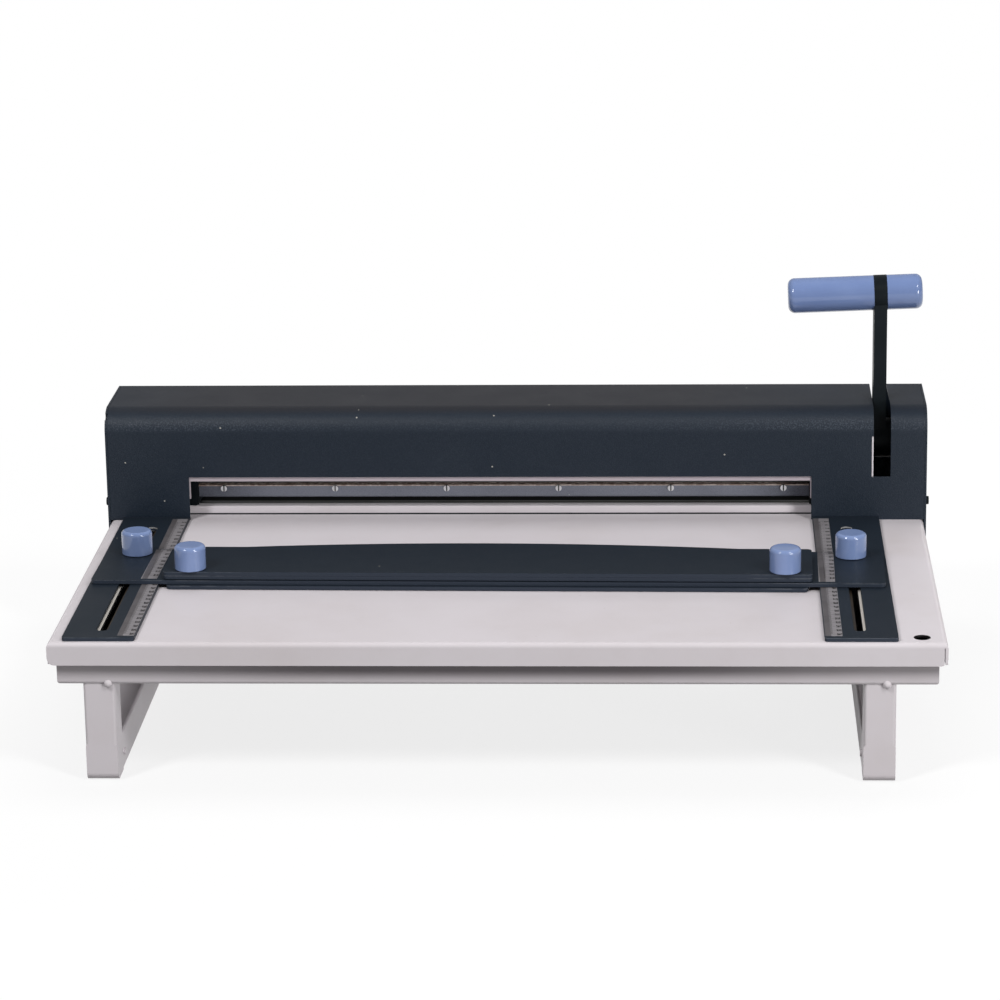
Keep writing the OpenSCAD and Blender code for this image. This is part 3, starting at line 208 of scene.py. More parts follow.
class Finish:
    """One material, built from nodes on the piece's own coordinates."""

    def __init__(self, name):
        self.material = bpy.data.materials.new(name)
        self.material.use_nodes = True
        self.tree = self.material.node_tree
        self.tree.nodes.clear()
        self.place = self.node("ShaderNodeTexCoord").outputs["Object"]
        parts = self.node("ShaderNodeSeparateXYZ", links={0: self.place}).outputs
        self.x, self.y, self.z = (Num(self, parts[i]) for i in range(3))
        face = self.node("ShaderNodeNewGeometry").outputs["Normal"]
        parts = self.node("ShaderNodeSeparateXYZ", links={0: face}).outputs
        self.ny, self.nz = (Num(self, parts[i]) for i in (1, 2))

    def node(self, kind, settings=None, links=None):
        """A node of this type with its settings and with values or links on its sockets."""
        made = self.tree.nodes.new(kind)
        for key, value in (settings or {}).items():
            setattr(made, key, value)
        for key, value in (links or {}).items():
            if isinstance(value, Num):
                value = value.socket
            if isinstance(value, bpy.types.NodeSocket):
                self.tree.links.new(value, made.inputs[key])
            else:
                made.inputs[key].default_value = value
        return made

    def stretched(self, scale):
        """The piece's coordinates, scaled apart on each axis."""
        return self.node("ShaderNodeMapping", links={0: self.place, "Scale": scale}).outputs[0]

    def noise(self, scale, detail=2.0, rough=0.5, place=None):
        links = {"Vector": place or self.place, "Scale": scale, "Detail": detail, "Roughness": rough}
        return Num(self, self.node("ShaderNodeTexNoise", links=links).outputs[0])

    def cells(self, scale, place=None):
        """Distance to the nearest of the scattered points, and a random value of its own for each."""
        made = self.node("ShaderNodeTexVoronoi", links={"Vector": place or self.place, "Scale": scale})
        own = self.node("ShaderNodeSeparateColor", links={0: made.outputs["Color"]}).outputs[0]
        return Num(self, made.outputs["Distance"]), Num(self, own)

    def mix(self, share, low, high):
        """The low colour where the share is 0 and the high one where it is 1."""
        made = self.node("ShaderNodeMix", {"data_type": "RGBA"}, {0: share, 6: low, 7: high})
        return made.outputs[2]

    def bump(self, height, strength, depth):
        links = {"Height": height, "Strength": strength, "Distance": depth}
        return self.node("ShaderNodeBump", links=links).outputs[0]

    def within(self, value, low, high, soft):
        """1 where the value lies between low and high, with soft ends."""
        return value.step(low - soft, low + soft) * (1 - value.step(high - soft, high + soft))

    def surface(self, **sockets):
        """The finished material: a Principled surface with these sockets."""
        names = {key.replace("_", " ").title(): value for key, value in sockets.items()}
        names = {key.replace("Ior", "IOR"): value for key, value in names.items()}
        shader = self.node("ShaderNodeBsdfPrincipled", links=names)
        self.node("ShaderNodeOutputMaterial", links={0: shader.outputs[0]})
        return self.material


def specks(finish, scale, size, share):
    """Small round marks on a few of the scattered points."""
    far, own = finish.cells(scale)
    return (far < size) * (own > 1 - share)


def scratches(finish, scale, stretch, share):
    """Thin short strokes along one axis."""
    far, own = finish.cells(scale, finish.stretched(stretch))
    return (far < 0.05) * (own > 1 - share)


def orange_peel(f):
    """The faint relief of the pale powder coat."""
    peel = f.noise(900.0, 2.0, 0.55)
    grain = f.noise(2600.0, 1.0)
    return f.bump(peel + grain * 0.4, 0.16, 0.00010)


def pale_coat(name="pale_powder_coat", shade_inside=False, light=PALE):
    """Warm light grey powder coat with a faint orange peel, soil and rubbed patches. For the base pan it also
    carries painted shade: near black on its upward faces inside, and darker under the table's lip.
    """
    f = Finish(name)
    patches = f.noise(9.0, 3.0).step(0.42, 0.78) * 0.22
    cloud = f.noise(42.0, 4.0, 0.6).step(0.35, 0.9) * 0.14
    soil = (patches + cloud + specks(f, 60.0, 0.045, 0.25) * 0.5).clip()
    tone = f.mix(soil, light, PALE_SOIL)
    if shade_inside:
        # Painted shade: the upward faces inside the pan are near black
        tone = f.mix(f.nz.step(0.6, 0.9), tone, PAN_SHADE)
        # Painted shade cast by the table's lip: darker towards the top of the pan's front faces, most in the
        # middle
        under_lip_shade = (f.z - LIP_FOOT_Z).step(0.0, 0.0150) * (f.ny < -0.3)
        middle = 1 - abs(f.x).step(0.10, 0.36) * 0.45
        tone = f.mix(under_lip_shade * middle * 0.95, tone, LIP_SHADE)
    normal = orange_peel(f)
    rough = 0.42 + f.noise(30.0, 2.0) * 0.12
    return f.surface(base_color=tone, roughness=rough, normal=normal, specular_ior_level=0.42)


def table_coat():
    """The table's coat: as the others, with painted light and painted shade in its stud slots, painted shade in
    its corner hole and a dark seam of painted shade at the bed's foot.
    """
    f = Finish("table_powder_coat")
    patches = f.noise(7.0, 3.0).step(0.42, 0.78) * 0.22
    cloud = f.noise(38.0, 4.0, 0.6).step(0.35, 0.9) * 0.12
    near = f.within(f.x - RUBBED_X, -0.02, 0.03, 0.010) * f.within(f.y, -0.13, 0.10, 0.03)
    worn = near * f.noise(16.0, 3.0).step(0.45, 0.7) * 0.22
    soil = (patches + cloud + worn + specks(f, 60.0, 0.045, 0.25) * 0.5).clip()
    tone = f.mix(soil, PALE, PALE_SOIL)
    for middle, outward in STUD_SLOTS:
        across = (f.x - middle) * outward
        slot = (abs(across) < SLOT_HALF_W) * f.within(f.y, *SLOT_REACH, 0.0005)
        # Painted light and shade in each slot: the outer ledge and the rear end are painted lit, the rest painted
        # dark and near black as shade
        ribs = ((f.x * outward + f.y * 0.5) * 620).fract().step(0.30, 0.55) * 0.35
        lit = f.mix(ribs, LEDGE_LIT, LEDGE_RIB)
        shade = f.mix(f.noise(120.0), SLOT_SHADE, SLOT_SHADE_LIGHTER)
        shade = f.mix(across > -0.0023, shade, SLOT_BLACK_SHADE)
        rear_end = (f.y > SLOT_REACH[1] - 0.0027) * f.noise(160.0, 2.0).step(0.25, 0.45)
        tone = f.mix(slot, tone, f.mix(((across > 0.0028) + rear_end).clip(), shade, lit))
    # Painted shade on the walls of the corner hole
    hole_x, hole_y = (f.within(at - middle, -CORNER_HOLE_R, CORNER_HOLE_R, 0.0001)
                      for at, middle in ((f.x, CORNER_HOLE[0]), (f.y, CORNER_HOLE[1])))
    tone = f.mix((abs(f.nz) < 0.3) * hole_x * hole_y, tone, HOLE_SHADE)
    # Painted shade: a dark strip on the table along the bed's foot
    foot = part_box("bed_bar")[0][1]
    seam = f.within(f.y - foot, -0.0026, 0.002, 0.0004) * f.within(f.x - MOUTH_X, -0.272, 0.272, 0.002)
    tone = f.mix(seam, tone, SEAM_SHADE)
    normal = orange_peel(f)
    rough = 0.40 + f.noise(30.0, 2.0) * 0.14
    return f.surface(base_color=tone, roughness=rough, normal=normal, specular_ior_level=0.42)


def bed_coat():
    """The bed: pale in front of the crease, with near-black painted shade behind it and painted shade along its
    foot.
    """
    f = Finish("bed_powder_coat")
    soil = (f.noise(24.0, 3.0).step(0.42, 0.78) * 0.2 + specks(f, 90.0, 0.05, 0.3) * 0.5).clip()
    tone = f.mix(soil, PALE, PALE_SOIL)
    # Painted shade: the bed behind the crease is near black
    behind = (f.y - BED_SHADE_FROM).step(0.0, 0.0003)
    # Painted shade along the bed's foot, in the seam's colour
    foot_shade = 1 - (f.z - BED_FOOT_SHADE_TO).step(0.0, 0.0005)
    mottle = f.noise(70.0, 3.0).step(0.4, 0.8)
    tone = f.mix(behind, tone, f.mix(mottle, BED_SHADE, BED_SHADE_LIGHTER))
    tone = f.mix(foot_shade, tone, SEAM_SHADE)
    normal = f.bump(f.noise(900.0, 2.0, 0.55), 0.12, 0.00008)
    rough = 0.46 + behind * 0.4
    return f.surface(base_color=tone, roughness=rough, normal=normal, specular_ior_level=0.1)


def dark_coat(name, low, high, grain_scale, peel, gloss, edge_sheen_and_wear, top_reflection, extras):
    """Dark blue grey powder coat: fine grain with a sparkle, light specks, dust and hairlines, a brownish painted
    reflection on its upward faces, and lighter eased edges, partly wear and partly painted highlight.
    """
    f = Finish(name)
    grain = f.noise(grain_scale, 2.0, 0.7).step(0.35, 0.75)
    spark = specks(f, grain_scale * 0.8, 0.30, 0.10) * 0.35
    dust = specks(f, 70.0, 0.035, 0.30) * 0.8
    lines = scratches(f, 30.0, (0.35, 3.0, 2.2), 0.05) * 0.5
    rubbed = f.noise(11.0, 4.0, 0.6).step(0.5, 0.85) * 0.3
    # Lighter eased edges: partly a painted highlight along them, partly wear where bare patches follow
    eased = f.nz.step(0.2, 0.5) * (1 - f.nz.step(0.8, 0.96)) * edge_sheen_and_wear
    bare = eased * f.noise(55.0, 3.0, 0.6).step(0.38, 0.62) * 0.55
    tone = f.mix((grain * 0.45 + spark + rubbed + dust + lines + eased).clip(), low, high)
    # Painted reflection: a brownish tone on the upward faces, weaker towards the ends
    reflection_share = top_reflection * (1 - abs(f.x + 0.05).step(0.18, 0.36) * 0.6)
    tone = f.mix(f.nz.step(0.7, 0.97) * (reflection_share + grain * reflection_share), tone, TOP_REFLECTION)
    tone = f.mix(bare, tone, WORN_EDGE)
    tone = f.mix(specks(f, 60.0, 0.042, 0.22) * 0.85, tone, CRUMB)
    tone = extras(f, tone)
    normal = f.bump(f.noise(grain_scale, 3.0, 0.6), peel, 0.0003)
    rough = 0.39 + f.noise(24.0, 3.0) * 0.14
    return f.surface(base_color=tone, roughness=rough, normal=normal, specular_ior_level=gloss)


def gauge_wear(f, tone):
    """A painted highlight on the slots' rear end walls, front faces painted lighter as lit, and rubbed upper edges
    near the ends.
    """
    # Painted highlight: a pale band at the top of the slots' rear end walls
    slot_end = f.within(f.y, *SLOT_END_LIGHT_Y, 0.0002) * f.within(f.z, *SLOT_END_LIGHT_Z, 0.0001)
    slot_end = slot_end * (abs(f.nz) < 0.6) * (f.ny < -0.25)
    tone = f.mix(slot_end, tone, SLOT_END_HIGHLIGHT)
    # Painted light: the front faces are lighter
    tone = f.mix((f.ny < -0.5) * 0.55, tone, PLATE_FRONT_LIT)
    near_ends = abs(f.x - MOUTH_X).step(0.17, 0.26)
    rubs = f.noise(70.0, 4.0, 0.65).step(0.36, 0.60) * near_ends * 0.42
    for plate in ("left_guide_plate", "cross_bar", "stop_plate", "hold_down_plate"):
        upper_edge = f.within(f.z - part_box(plate)[1][2], -0.0006, 0.0002, 0.0002)
        tone = f.mix(upper_edge * (f.ny < -0.3) * rubs, tone, WORN_EDGE)
    return tone


def cover_wear(f, tone):
    """Painted glints along the cover's bend, stronger towards its ends, and a pale strip where the lever rubs the
    edge of its slot.
    """
    # Painted highlight: glints in the colour along the cover's bend
    bend = f.nz.step(0.05, 0.20) * (1 - f.nz.step(0.40, 0.75)) * (f.ny < -0.2)
    near_ends = abs(f.x + 0.01).step(0.10, 0.33)
    painted_glint = f.noise(1000.0, 1.0).step(0.48, 0.66) * (0.3 + near_ends * 0.7)
    tone = f.mix(bend * painted_glint * 0.28, tone, NIGHT_PAINTED_GLINT)
    rub = f.within(f.x - LEVER_SLOT_X, -0.0014, 0.0004, 0.0001) * f.within(f.z, *LEVER_RUB_Z, 0.001)
    return f.mix(rub * (abs(f.ny) > 0.3) * (f.y < LEVER_RUB_FRONT_OF), tone, PALE)


def black_enamel():
    """Black stove enamel of the lever, blocks and screws, nicked and lightly scratched."""
    f = Finish("black_enamel")
    cloud = f.noise(35.0, 3.0).step(0.4, 0.8) * 0.3
    nicks = specks(f, 110.0, 0.05, 0.2) * 0.7
    lines = scratches(f, 60.0, (1.0, 1.0, 0.2), 0.06) * 0.5
    tone = f.mix((cloud + nicks + lines).clip(), BLACK, BLACK_LIGHT)
    normal = f.bump(f.noise(800.0, 2.0), 0.12, 0.00008)
    rough = 0.38 + f.noise(40.0) * 0.12
    return f.surface(base_color=tone, roughness=rough, normal=normal, specular_ior_level=0.14)


def ground_steel(name="ground_steel", stretch=(6.0, 900.0, 900.0), clean=STEEL, dark=STEEL_DARK):
    """Ground steel with long grinding lines, oil film and brown spots."""
    f = Finish(name)
    lines = f.noise(1.0, 4.0, 0.65, f.stretched(stretch))
    mottle = f.noise(20.0, 4.0, 0.6).step(0.45, 0.8)
    tone = f.mix((lines * 0.5 + mottle * 0.35).clip(), clean, dark)
    spots = specks(f, 90.0, 0.12, 0.18) * f.noise(60.0).step(0.5, 0.7)
    tone = f.mix((spots * 0.6).clip(), tone, OIL_BROWN)
    normal = f.bump(lines, 0.25, 0.00006)
    rough = 0.26 + lines * 0.16 + mottle * 0.10
    return f.surface(base_color=tone, metallic=0.92, roughness=rough, normal=normal)


def clamp_steel():
    """The bar that clamps the blade: a bright ground face with painted shade towards its ends, and an oily brown
    top.
    """
    f = Finish("clamp_bar_steel")
    lines = f.noise(1.0, 4.0, 0.65, f.stretched((5.0, 900.0, 900.0)))
    mottle = f.noise(14.0, 4.0, 0.6).step(0.42, 0.8)
    # Painted shade: the face darkens towards its ends
    ends = abs(f.x - MOUTH_X).step(0.19, 0.262)
    grit = f.noise(1500.0, 2.0, 0.7).step(0.4, 0.7)
    dull_and_end_shade = lines * 0.12 + mottle * 0.2 + grit * 0.25 + ends * 0.6
    tone = f.mix(dull_and_end_shade.clip(), CLAMP, CLAMP_DULL)
    chips = specks(f, 130.0, 0.06, 0.12)
    tone = f.mix(chips * 0.7, tone, CLAMP_CHIP)
    on_top = f.nz.step(0.8, 0.95)
    brown = f.mix(f.noise(260.0, 3.0).step(0.35, 0.7), CLAMP_BROWN, CLAMP_BROWN_PALE)
    top_line = f.within(f.z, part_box("blade_clamp")[1][2] - 0.0009, 1.0, 0.0002)
    tone = f.mix((on_top + top_line * 0.85).clip(), tone, brown)
    normal = f.bump(grit, 0.15, 0.00004)
    rough = 0.40 + grit * 0.12 + on_top * 0.2
    return f.surface(base_color=tone, metallic=0.55 - on_top * 0.45, roughness=rough, normal=normal)


def screw_head_steel():
    """Bright turned heads, with painted shade down in their slots and behind their rims."""
    f = Finish("screw_head_steel")
    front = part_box("blade_screws")[0][1]
    # Painted shade: dark behind the heads' front faces
    deep = (f.y - front).step(0.0002, 0.0005)
    swirl = f.noise(1.0, 3.0, 0.6, f.stretched((700.0, 60.0, 700.0)))
    tone = f.mix((swirl * 0.3).clip(), HEAD_BRIGHT, HEAD_DULL)
    tone = f.mix(deep, tone, HEAD_SHADE)
    normal = f.bump(swirl, 0.2, 0.00005)
    return f.surface(base_color=tone, metallic=0.25, roughness=0.24 + swirl * 0.1, normal=normal)


def ruler_steel(name, worn):
    """Satin rolled steel; a darker plain band runs down the left third of the two long rulers."""
    f = Finish(name)
    roll = f.noise(1.0, 3.0, 0.6, f.stretched((1400.0, 10.0, 1400.0)))
    left, right = (f.within(f.x, *band, 0.0002) for band in RULER_BANDS)
    wipe = f.noise(45.0, 4.0, 0.6).step(0.4, 0.8)
    tone = f.mix(((left + right) * 0.8 + roll * 0.2 + wipe * worn).clip(), RULER, RULER_DARK)
    normal = f.bump(roll, 0.2, 0.00004)
    rough = 0.40 + roll * 0.12 + wipe * 0.1
    return f.surface(base_color=tone, metallic=0.35, roughness=rough, normal=normal)


def etched_ink():
    """The dark fill of the rulers' marks and figures."""
    f = Finish("etched_ink")
    tone = f.mix(f.noise(500.0, 2.0).step(0.4, 0.8) * 0.5, INK, INK_WORN)
    return f.surface(base_color=tone, roughness=0.7 + f.noise(300.0) * 0.2)


def bearing_bronze():
    """Turned bronze of the bushes, tarnished in patches."""
    f = Finish("bearing_bronze")
    lines = f.noise(1.0, 3.0, 0.6, f.stretched((8.0, 700.0, 700.0)))
    tarnish = f.noise(50.0, 4.0).step(0.4, 0.8)
    tone = f.mix((lines * 0.4 + tarnish * 0.5).clip(), BRONZE, BRONZE_DARK)
    normal = f.bump(lines, 0.2, 0.00006)
    return f.surface(base_color=tone, metallic=0.9, roughness=0.32 + tarnish * 0.15, normal=normal)


def moulded_blue(name, light, deep):
    """Glossy periwinkle plastic, slightly mottled, with small marks and smears."""
    f = Finish(name)
    cloud = f.noise(55.0, 3.0).step(0.3, 0.8) * 0.35
    marks = specks(f, 160.0, 0.05, 0.10) * 0.6
    tone = f.mix((cloud + marks).clip(), light, deep)
    smear = f.noise(90.0, 4.0, 0.6).step(0.45, 0.75)
    normal = f.bump(f.noise(450.0, 1.0), 0.05, 0.00008)
    rough = 0.14 + smear * 0.08
    return f.surface(base_color=tone, roughness=rough, normal=normal, specular_ior_level=0.4,
                     coat_weight=0.5, coat_roughness=0.03)


def make_finishes():
    return {
        "pale_paint": pale_coat(),
        "table_paint": table_coat(),
        "base_paint": pale_coat("base_powder_coat", True),
        # The liner gets a darker copy of the pale coat as painted shade from the cover over it
        "liner_paint": pale_coat("liner_shaded_powder_coat", light=LINER_SHADE),
        "bed_paint": bed_coat(),
        "dark_paint": dark_coat("cover_powder_coat", NIGHT, NIGHT_LIGHT, grain_scale=1300.0, peel=0.7,
                                gloss=0.3, edge_sheen_and_wear=0.0, top_reflection=0.35, extras=cover_wear),
        "plate_paint": dark_coat("gauge_powder_coat", PLATE, PLATE_LIGHT, grain_scale=1700.0, peel=0.12,
                                 gloss=0.2, edge_sheen_and_wear=0.9, top_reflection=0.0, extras=gauge_wear),
        "black_finish": black_enamel(),
        "bare_steel": ground_steel(),
        "spring_steel": ground_steel("spring_steel", (900.0, 900.0, 6.0)),
        "screw_steel": screw_head_steel(),
        "blued_steel": ground_steel("blued_steel", clean=BLUED, dark=BLUED_DARK),
        "clamp_steel": clamp_steel(),
        "ruler_steel": ruler_steel("ruler_steel", 0.25),
        "bar_ruler_steel": ruler_steel("worn_ruler_steel", 0.6),
        "bronze": bearing_bronze(),
        "blue_plastic": moulded_blue("moulded_blue", KNOB, KNOB_DEEP),
        # The grips get a darker copy of the knobs' blue, as painted shade against the stronger light on them
        "grip_plastic": moulded_blue("grip_blue_shaded", GRIP_SHADED, GRIP_SHADED_DEEP),
        "ink": etched_ink(),
    }


FINISH = make_finishes()
SLOT_OF = {row["node"]: row["material_slot"] for row in frame["record"]["subparts"]}
BODIES = frame["record"]["behaviour"]["bodies"]
BODY_OF = {node: body for body, nodes in BODIES.items() for node in nodes}
OWN_FINISH = {
    "table_top": "table_paint", "base_frame": "base_paint", "bed_bar": "bed_paint",
    "guard_plate": "liner_paint", "blade_clamp": "clamp_steel", "blade_screws": "screw_steel",
    "crease_matrix": "blued_steel", "crease_blade": "blued_steel", "bar_rulers": "bar_ruler_steel",
    "long_grip_sleeve": "grip_plastic", "short_grip_sleeve": "grip_plastic",
}


def frame_joint(name):
    return next(j for j in frame["joints"] if j["name"] == name)


def finish_for(node):
    """A solid's own finish, or else that of its material slot."""
    return FINISH[OWN_FINISH.get(node, SLOT_OF[node])]


def paint(obj, finish):
    obj.data.materials.clear()
    obj.data.materials.append(finish)


def pick(obj):
    """Only this object is selected and active."""
    if bpy.context.object and bpy.context.object.mode != "OBJECT":
        bpy.ops.object.mode_set(mode="OBJECT")
    bpy.ops.object.select_all(action="DESELECT")
    bpy.context.view_layer.objects.active = obj
    obj.select_set(True)
    return obj


def settle(obj):
    """The object's place goes into its mesh."""
    pick(obj)
    bpy.ops.object.transform_apply(location=True, rotation=True, scale=True)
    return obj


def add_modifier(obj, kind, **settings):
    """A modifier, set up and applied."""
    pick(obj)
    made = obj.modifiers.new(kind.lower(), kind)
    for key, value in settings.items():
        setattr(made, key, value)
    bpy.ops.object.modifier_apply(modifier=made.name)


def smooth(obj, angle=32):
    """Smooth shading up to this angle between faces."""
    pick(obj)
    bpy.ops.object.shade_smooth_by_angle(angle=math.radians(angle))


# Points this near are one, faces this flat are joined, edges sharper than this are eased
WELD = 0.000004
FLAT = math.radians(0.4)
SHARP = math.radians(40)


def clean_copy(node, name):
    """A copy of a solid's mesh with its loose triangles joined and its flat faces made whole."""
    source = frame["nodes"][node]
    copy = bpy.data.objects.new(name, source.data.copy())
    bpy.context.scene.collection.objects.link(copy)
    pick(copy)
    bpy.ops.object.mode_set(mode="EDIT")
    bpy.ops.mesh.select_all(action="SELECT")
    bpy.ops.mesh.remove_doubles(threshold=WELD)
    bpy.ops.mesh.dissolve_limited(angle_limit=FLAT)
    bpy.ops.object.mode_set(mode="OBJECT")
    return copy


def take_place(obj, node):
    """The piece gets its solid's finish, stands in its place and rides on its body."""
    add_modifier(obj, "WEIGHTED_NORMAL", mode="FACE_AREA", weight=50, keep_sharp=True)
    paint(obj, finish_for(node))
    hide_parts(node)
    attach(obj, BODY_OF[node])


def softened(node, width):
    """The solid again with its sharp edges eased, in the solid's place."""
    piece = clean_copy(node, node + "_piece")
    add_modifier(piece, "BEVEL", width=width, segments=2, limit_method="ANGLE", angle_limit=SHARP,
                 harden_normals=False, use_clamp_overlap=True, miter_outer="MITER_ARC")
    smooth(piece)
    take_place(piece, node)


def keep_node(node):
    """A solid that shows as it is, with its finish."""
    obj = frame["nodes"][node]
    paint(obj, finish_for(node))
    smooth(obj)


# Millimetres of easing on the edges of the solids that show them
EASED = {
    "table_top": 0.4, "cover": 0.3, "left_side_plate": 0.35, "right_side_plate": 0.35,
    "rear_cover": 0.3, "base_frame": 0.35, "guard_plate": 0.4, "bed_bar": 0.4,
    "left_guide_plate": 0.35, "right_guide_plate": 0.35,
    "cross_bar": 0.45, "nut_plate": 0.45, "stop_plate": 0.45, "hold_down_plate": 0.45, "blade_clamp": 0.35,
    "press_beam": 0.4, "lever_arm": 0.6, "left_guide_block": 0.5, "right_guide_block": 0.5,
    "clamp_nuts": 0.4, "left_end_plate": 0.4, "right_end_plate": 0.4, "rear_deck": 0.3, "cover_screws": 0.5,
    "blade_screws": 0.15, "bar_rulers": 0.1, "left_ruler": 0.1, "right_ruler": 0.1,
}
ROUND_SIDES = 96
KNOBS = ("left_slide_knob", "right_slide_knob", "left_stop_knob", "right_stop_knob")
GRIPS = ("long_grip_sleeve", "short_grip_sleeve")
REMADE = ("left_return_spring", "right_return_spring") + KNOBS + GRIPS


def dress_solids():
    """Every solid gets its finish, and those that show their edges are eased."""
    left = set(frame["nodes"]) - set(REMADE)
    for node, width in EASED.items():
        softened(node, width * MM)
        left.discard(node)
    for node in sorted(left):
        keep_node(node)


def ring(name, radius, depth, at):
    """A disc standing on a place, as a start for round pieces."""
    bpy.ops.object.select_all(action="DESELECT")
    bpy.ops.mesh.primitive_cylinder_add(vertices=ROUND_SIDES, radius=radius, depth=depth, location=at)
    obj = bpy.context.object
    obj.name = name
    return settle(obj)


def box_at(name, low, high):
    """A block between two corners, as a start for flat pieces."""
    size = [b - a for a, b in zip(low, high)]
    middle = [(a + b) / 2 for a, b in zip(low, high)]
    bpy.ops.object.select_all(action="DESELECT")
    bpy.ops.mesh.primitive_cube_add(size=1, location=middle)
    obj = bpy.context.object
    obj.name = name
    obj.scale = size
    return settle(obj)


def join(objs, name):
    """Several meshes made one, with a name of its own."""
    pick(objs[0])
    for o in objs:
        o.select_set(True)
    bpy.ops.object.join()
    made = bpy.context.object
    made.name = name
    return made


def pick_end(obj, upper):
    """Edit mode with only the upper or the lower end face of a standing round piece selected."""
    pick(obj)
    ends = [p for p in obj.data.polygons if abs(p.normal.z) > 0.99 and len(p.vertices) == ROUND_SIDES]
    chosen = (max if upper else min)(ends, key=lambda p: p.center.z).index
    for part in (obj.data.vertices, obj.data.edges, obj.data.polygons):
        part.foreach_set("select", [False] * len(part))
    obj.data.polygons[chosen].select = True
    bpy.ops.object.mode_set(mode="EDIT")
    bpy.ops.mesh.select_mode(type="FACE")


def round_end(obj, upper, radius, segments):
    """Rounds the rim of one end."""
    pick_end(obj, upper)
    bpy.ops.mesh.bevel(offset=radius, segments=segments, affect="EDGES")
    bpy.ops.object.mode_set(mode="OBJECT")


def hollow_foot(obj, steps):
    """From the lower end face inwards: each step narrows the face and moves it along Z."""
    pick_end(obj, False)
    for narrower, along in steps:
        bpy.ops.mesh.inset(thickness=narrower)
        bpy.ops.mesh.extrude_region_move(TRANSFORM_OT_translate={"value": (0, 0, along)})
    bpy.ops.object.mode_set(mode="OBJECT")


# The knobs: rounded rim, eased foot, wall, depth of the hollow and wall of the boss
KNOB_ROUND = 0.0032
KNOB_FOOT = 0.0006
KNOB_WALL = 0.0025
KNOB_HOLLOW = 0.012
KNOB_BOSS = 0.005
BORE_PLAY = 0.1 * MM


def knob(node):
    """A moulded cap: rounded rim, hollow foot and a boss that is bored for the stud."""
    low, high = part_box(node)
    stud_low, stud_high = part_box(node.replace("knob", "stud"))
    radius, stud = (high[0] - low[0]) / 2, (stud_high[0] - stud_low[0]) / 2
    middle = [(a + b) / 2 for a, b in zip(low, high)]
    obj = ring(node + "_moulding", radius, high[2] - low[2], middle)
    round_end(obj, True, KNOB_ROUND, 10)
    round_end(obj, False, KNOB_FOOT, 3)
    hollow_foot(obj, [
        (KNOB_WALL - KNOB_FOOT, KNOB_HOLLOW),
        (radius - KNOB_WALL - KNOB_BOSS, -KNOB_HOLLOW),
        (KNOB_BOSS - stud - BORE_PLAY, stud_high[2] - low[2] + BORE_PLAY),
    ])
    smooth(obj, 40)
    take_place(obj, node)


# The rod that carries the grips rises towards the right
HANDLE_LEAN = math.radians(2)
GRIP_ROUND = 0.006
GRIP_EDGE = 0.3 * MM


def grip(node, way):
    """One grip sleeve: a rounded outer end, a square inner end and a bore for the rod."""
    low, high = (Vector(c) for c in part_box(node))
    rod_low, rod_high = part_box("handle_rod")
    arm_low, arm_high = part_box("lever_arm")
    lever_x = (arm_low[0] + arm_high[0]) / 2
    lean, radius, rod = math.sin(HANDLE_LEAN), (high.y - low.y) / 2, (rod_high[1] - rod_low[1]) / 2
    inner, outer = (high, low) if way < 0 else (low, high)
    start = (abs(inner.x - lever_x) + radius * lean) / math.cos(HANDLE_LEAN)
    reach = abs(outer.x - lever_x) - GRIP_ROUND - (radius - GRIP_ROUND) * lean
    length = reach / math.cos(HANDLE_LEAN) + GRIP_ROUND - start
    rod_reach = abs((rod_low if way < 0 else rod_high)[0] - lever_x) / math.cos(HANDLE_LEAN) - start
    middle_z = inner.z - way * start * lean + way * radius * math.cos(HANDLE_LEAN)
    obj = ring(node + "_moulding", radius, length, (0, 0, length / 2))
    round_end(obj, True, GRIP_ROUND, 12)
    round_end(obj, False, GRIP_EDGE, 2)
    hollow_foot(obj, [(radius - GRIP_EDGE - rod - BORE_PLAY, rod_reach + 2 * BORE_PLAY)])
    turn = Matrix.Rotation(way * math.pi / 2 - HANDLE_LEAN, 4, "Y")
    place = Vector((lever_x, (low.y + high.y) / 2, middle_z))
    obj.data.transform(Matrix.Translation(place) @ turn @ Matrix.Translation((0, 0, start)))
    smooth(obj, 40)
    take_place(obj, node)


# The figures on the rulers count centimetres from the crease; the ink stands on the steel
CREASE_LINE = 0.15775
INK_LIFT = 0.00001
INK_DEPTH = 0.00003
CM = 10 * MM
TICK_W = 0.00022
TICKS_FROM = 0.0045
TICK_MM, TICK_HALF, TICK_CM = 0.0014, 0.0022, 0.0042
FIGURE_X = 0.0108
FIGURE_DROP = 0.0002
FIGURE_SIZE = 0.0050
FIGURE_WEIGHT = 0.00026


def ticks(name, x0, x1, y_first, count, pitch, top):
    """One thin mark, repeated along the ruler."""
    mark = box_at(name, (x0, y_first - TICK_W / 2, top + INK_LIFT),
                  (x1, y_first + TICK_W / 2, top + INK_LIFT + INK_DEPTH))
    add_modifier(mark, "ARRAY", count=count, use_relative_offset=False, use_constant_offset=True,
                 constant_offset_displace=(0.0, -pitch, 0.0))
    return mark


def figure(text, x, y, top):
    """One number, read along the ruler, with its head towards +X."""
    bpy.ops.object.select_all(action="DESELECT")
    bpy.ops.object.text_add(location=(x, y, top + INK_LIFT * 2), rotation=(0, 0, -math.pi / 2))
    obj = bpy.context.object
    obj.data.body = text
    obj.data.size = FIGURE_SIZE
    obj.data.align_x = "CENTER"
    obj.data.align_y = "CENTER"
    obj.data.offset = FIGURE_WEIGHT
    obj.data.resolution_u = 2
    bpy.ops.object.convert(target="MESH")
    return settle(obj)


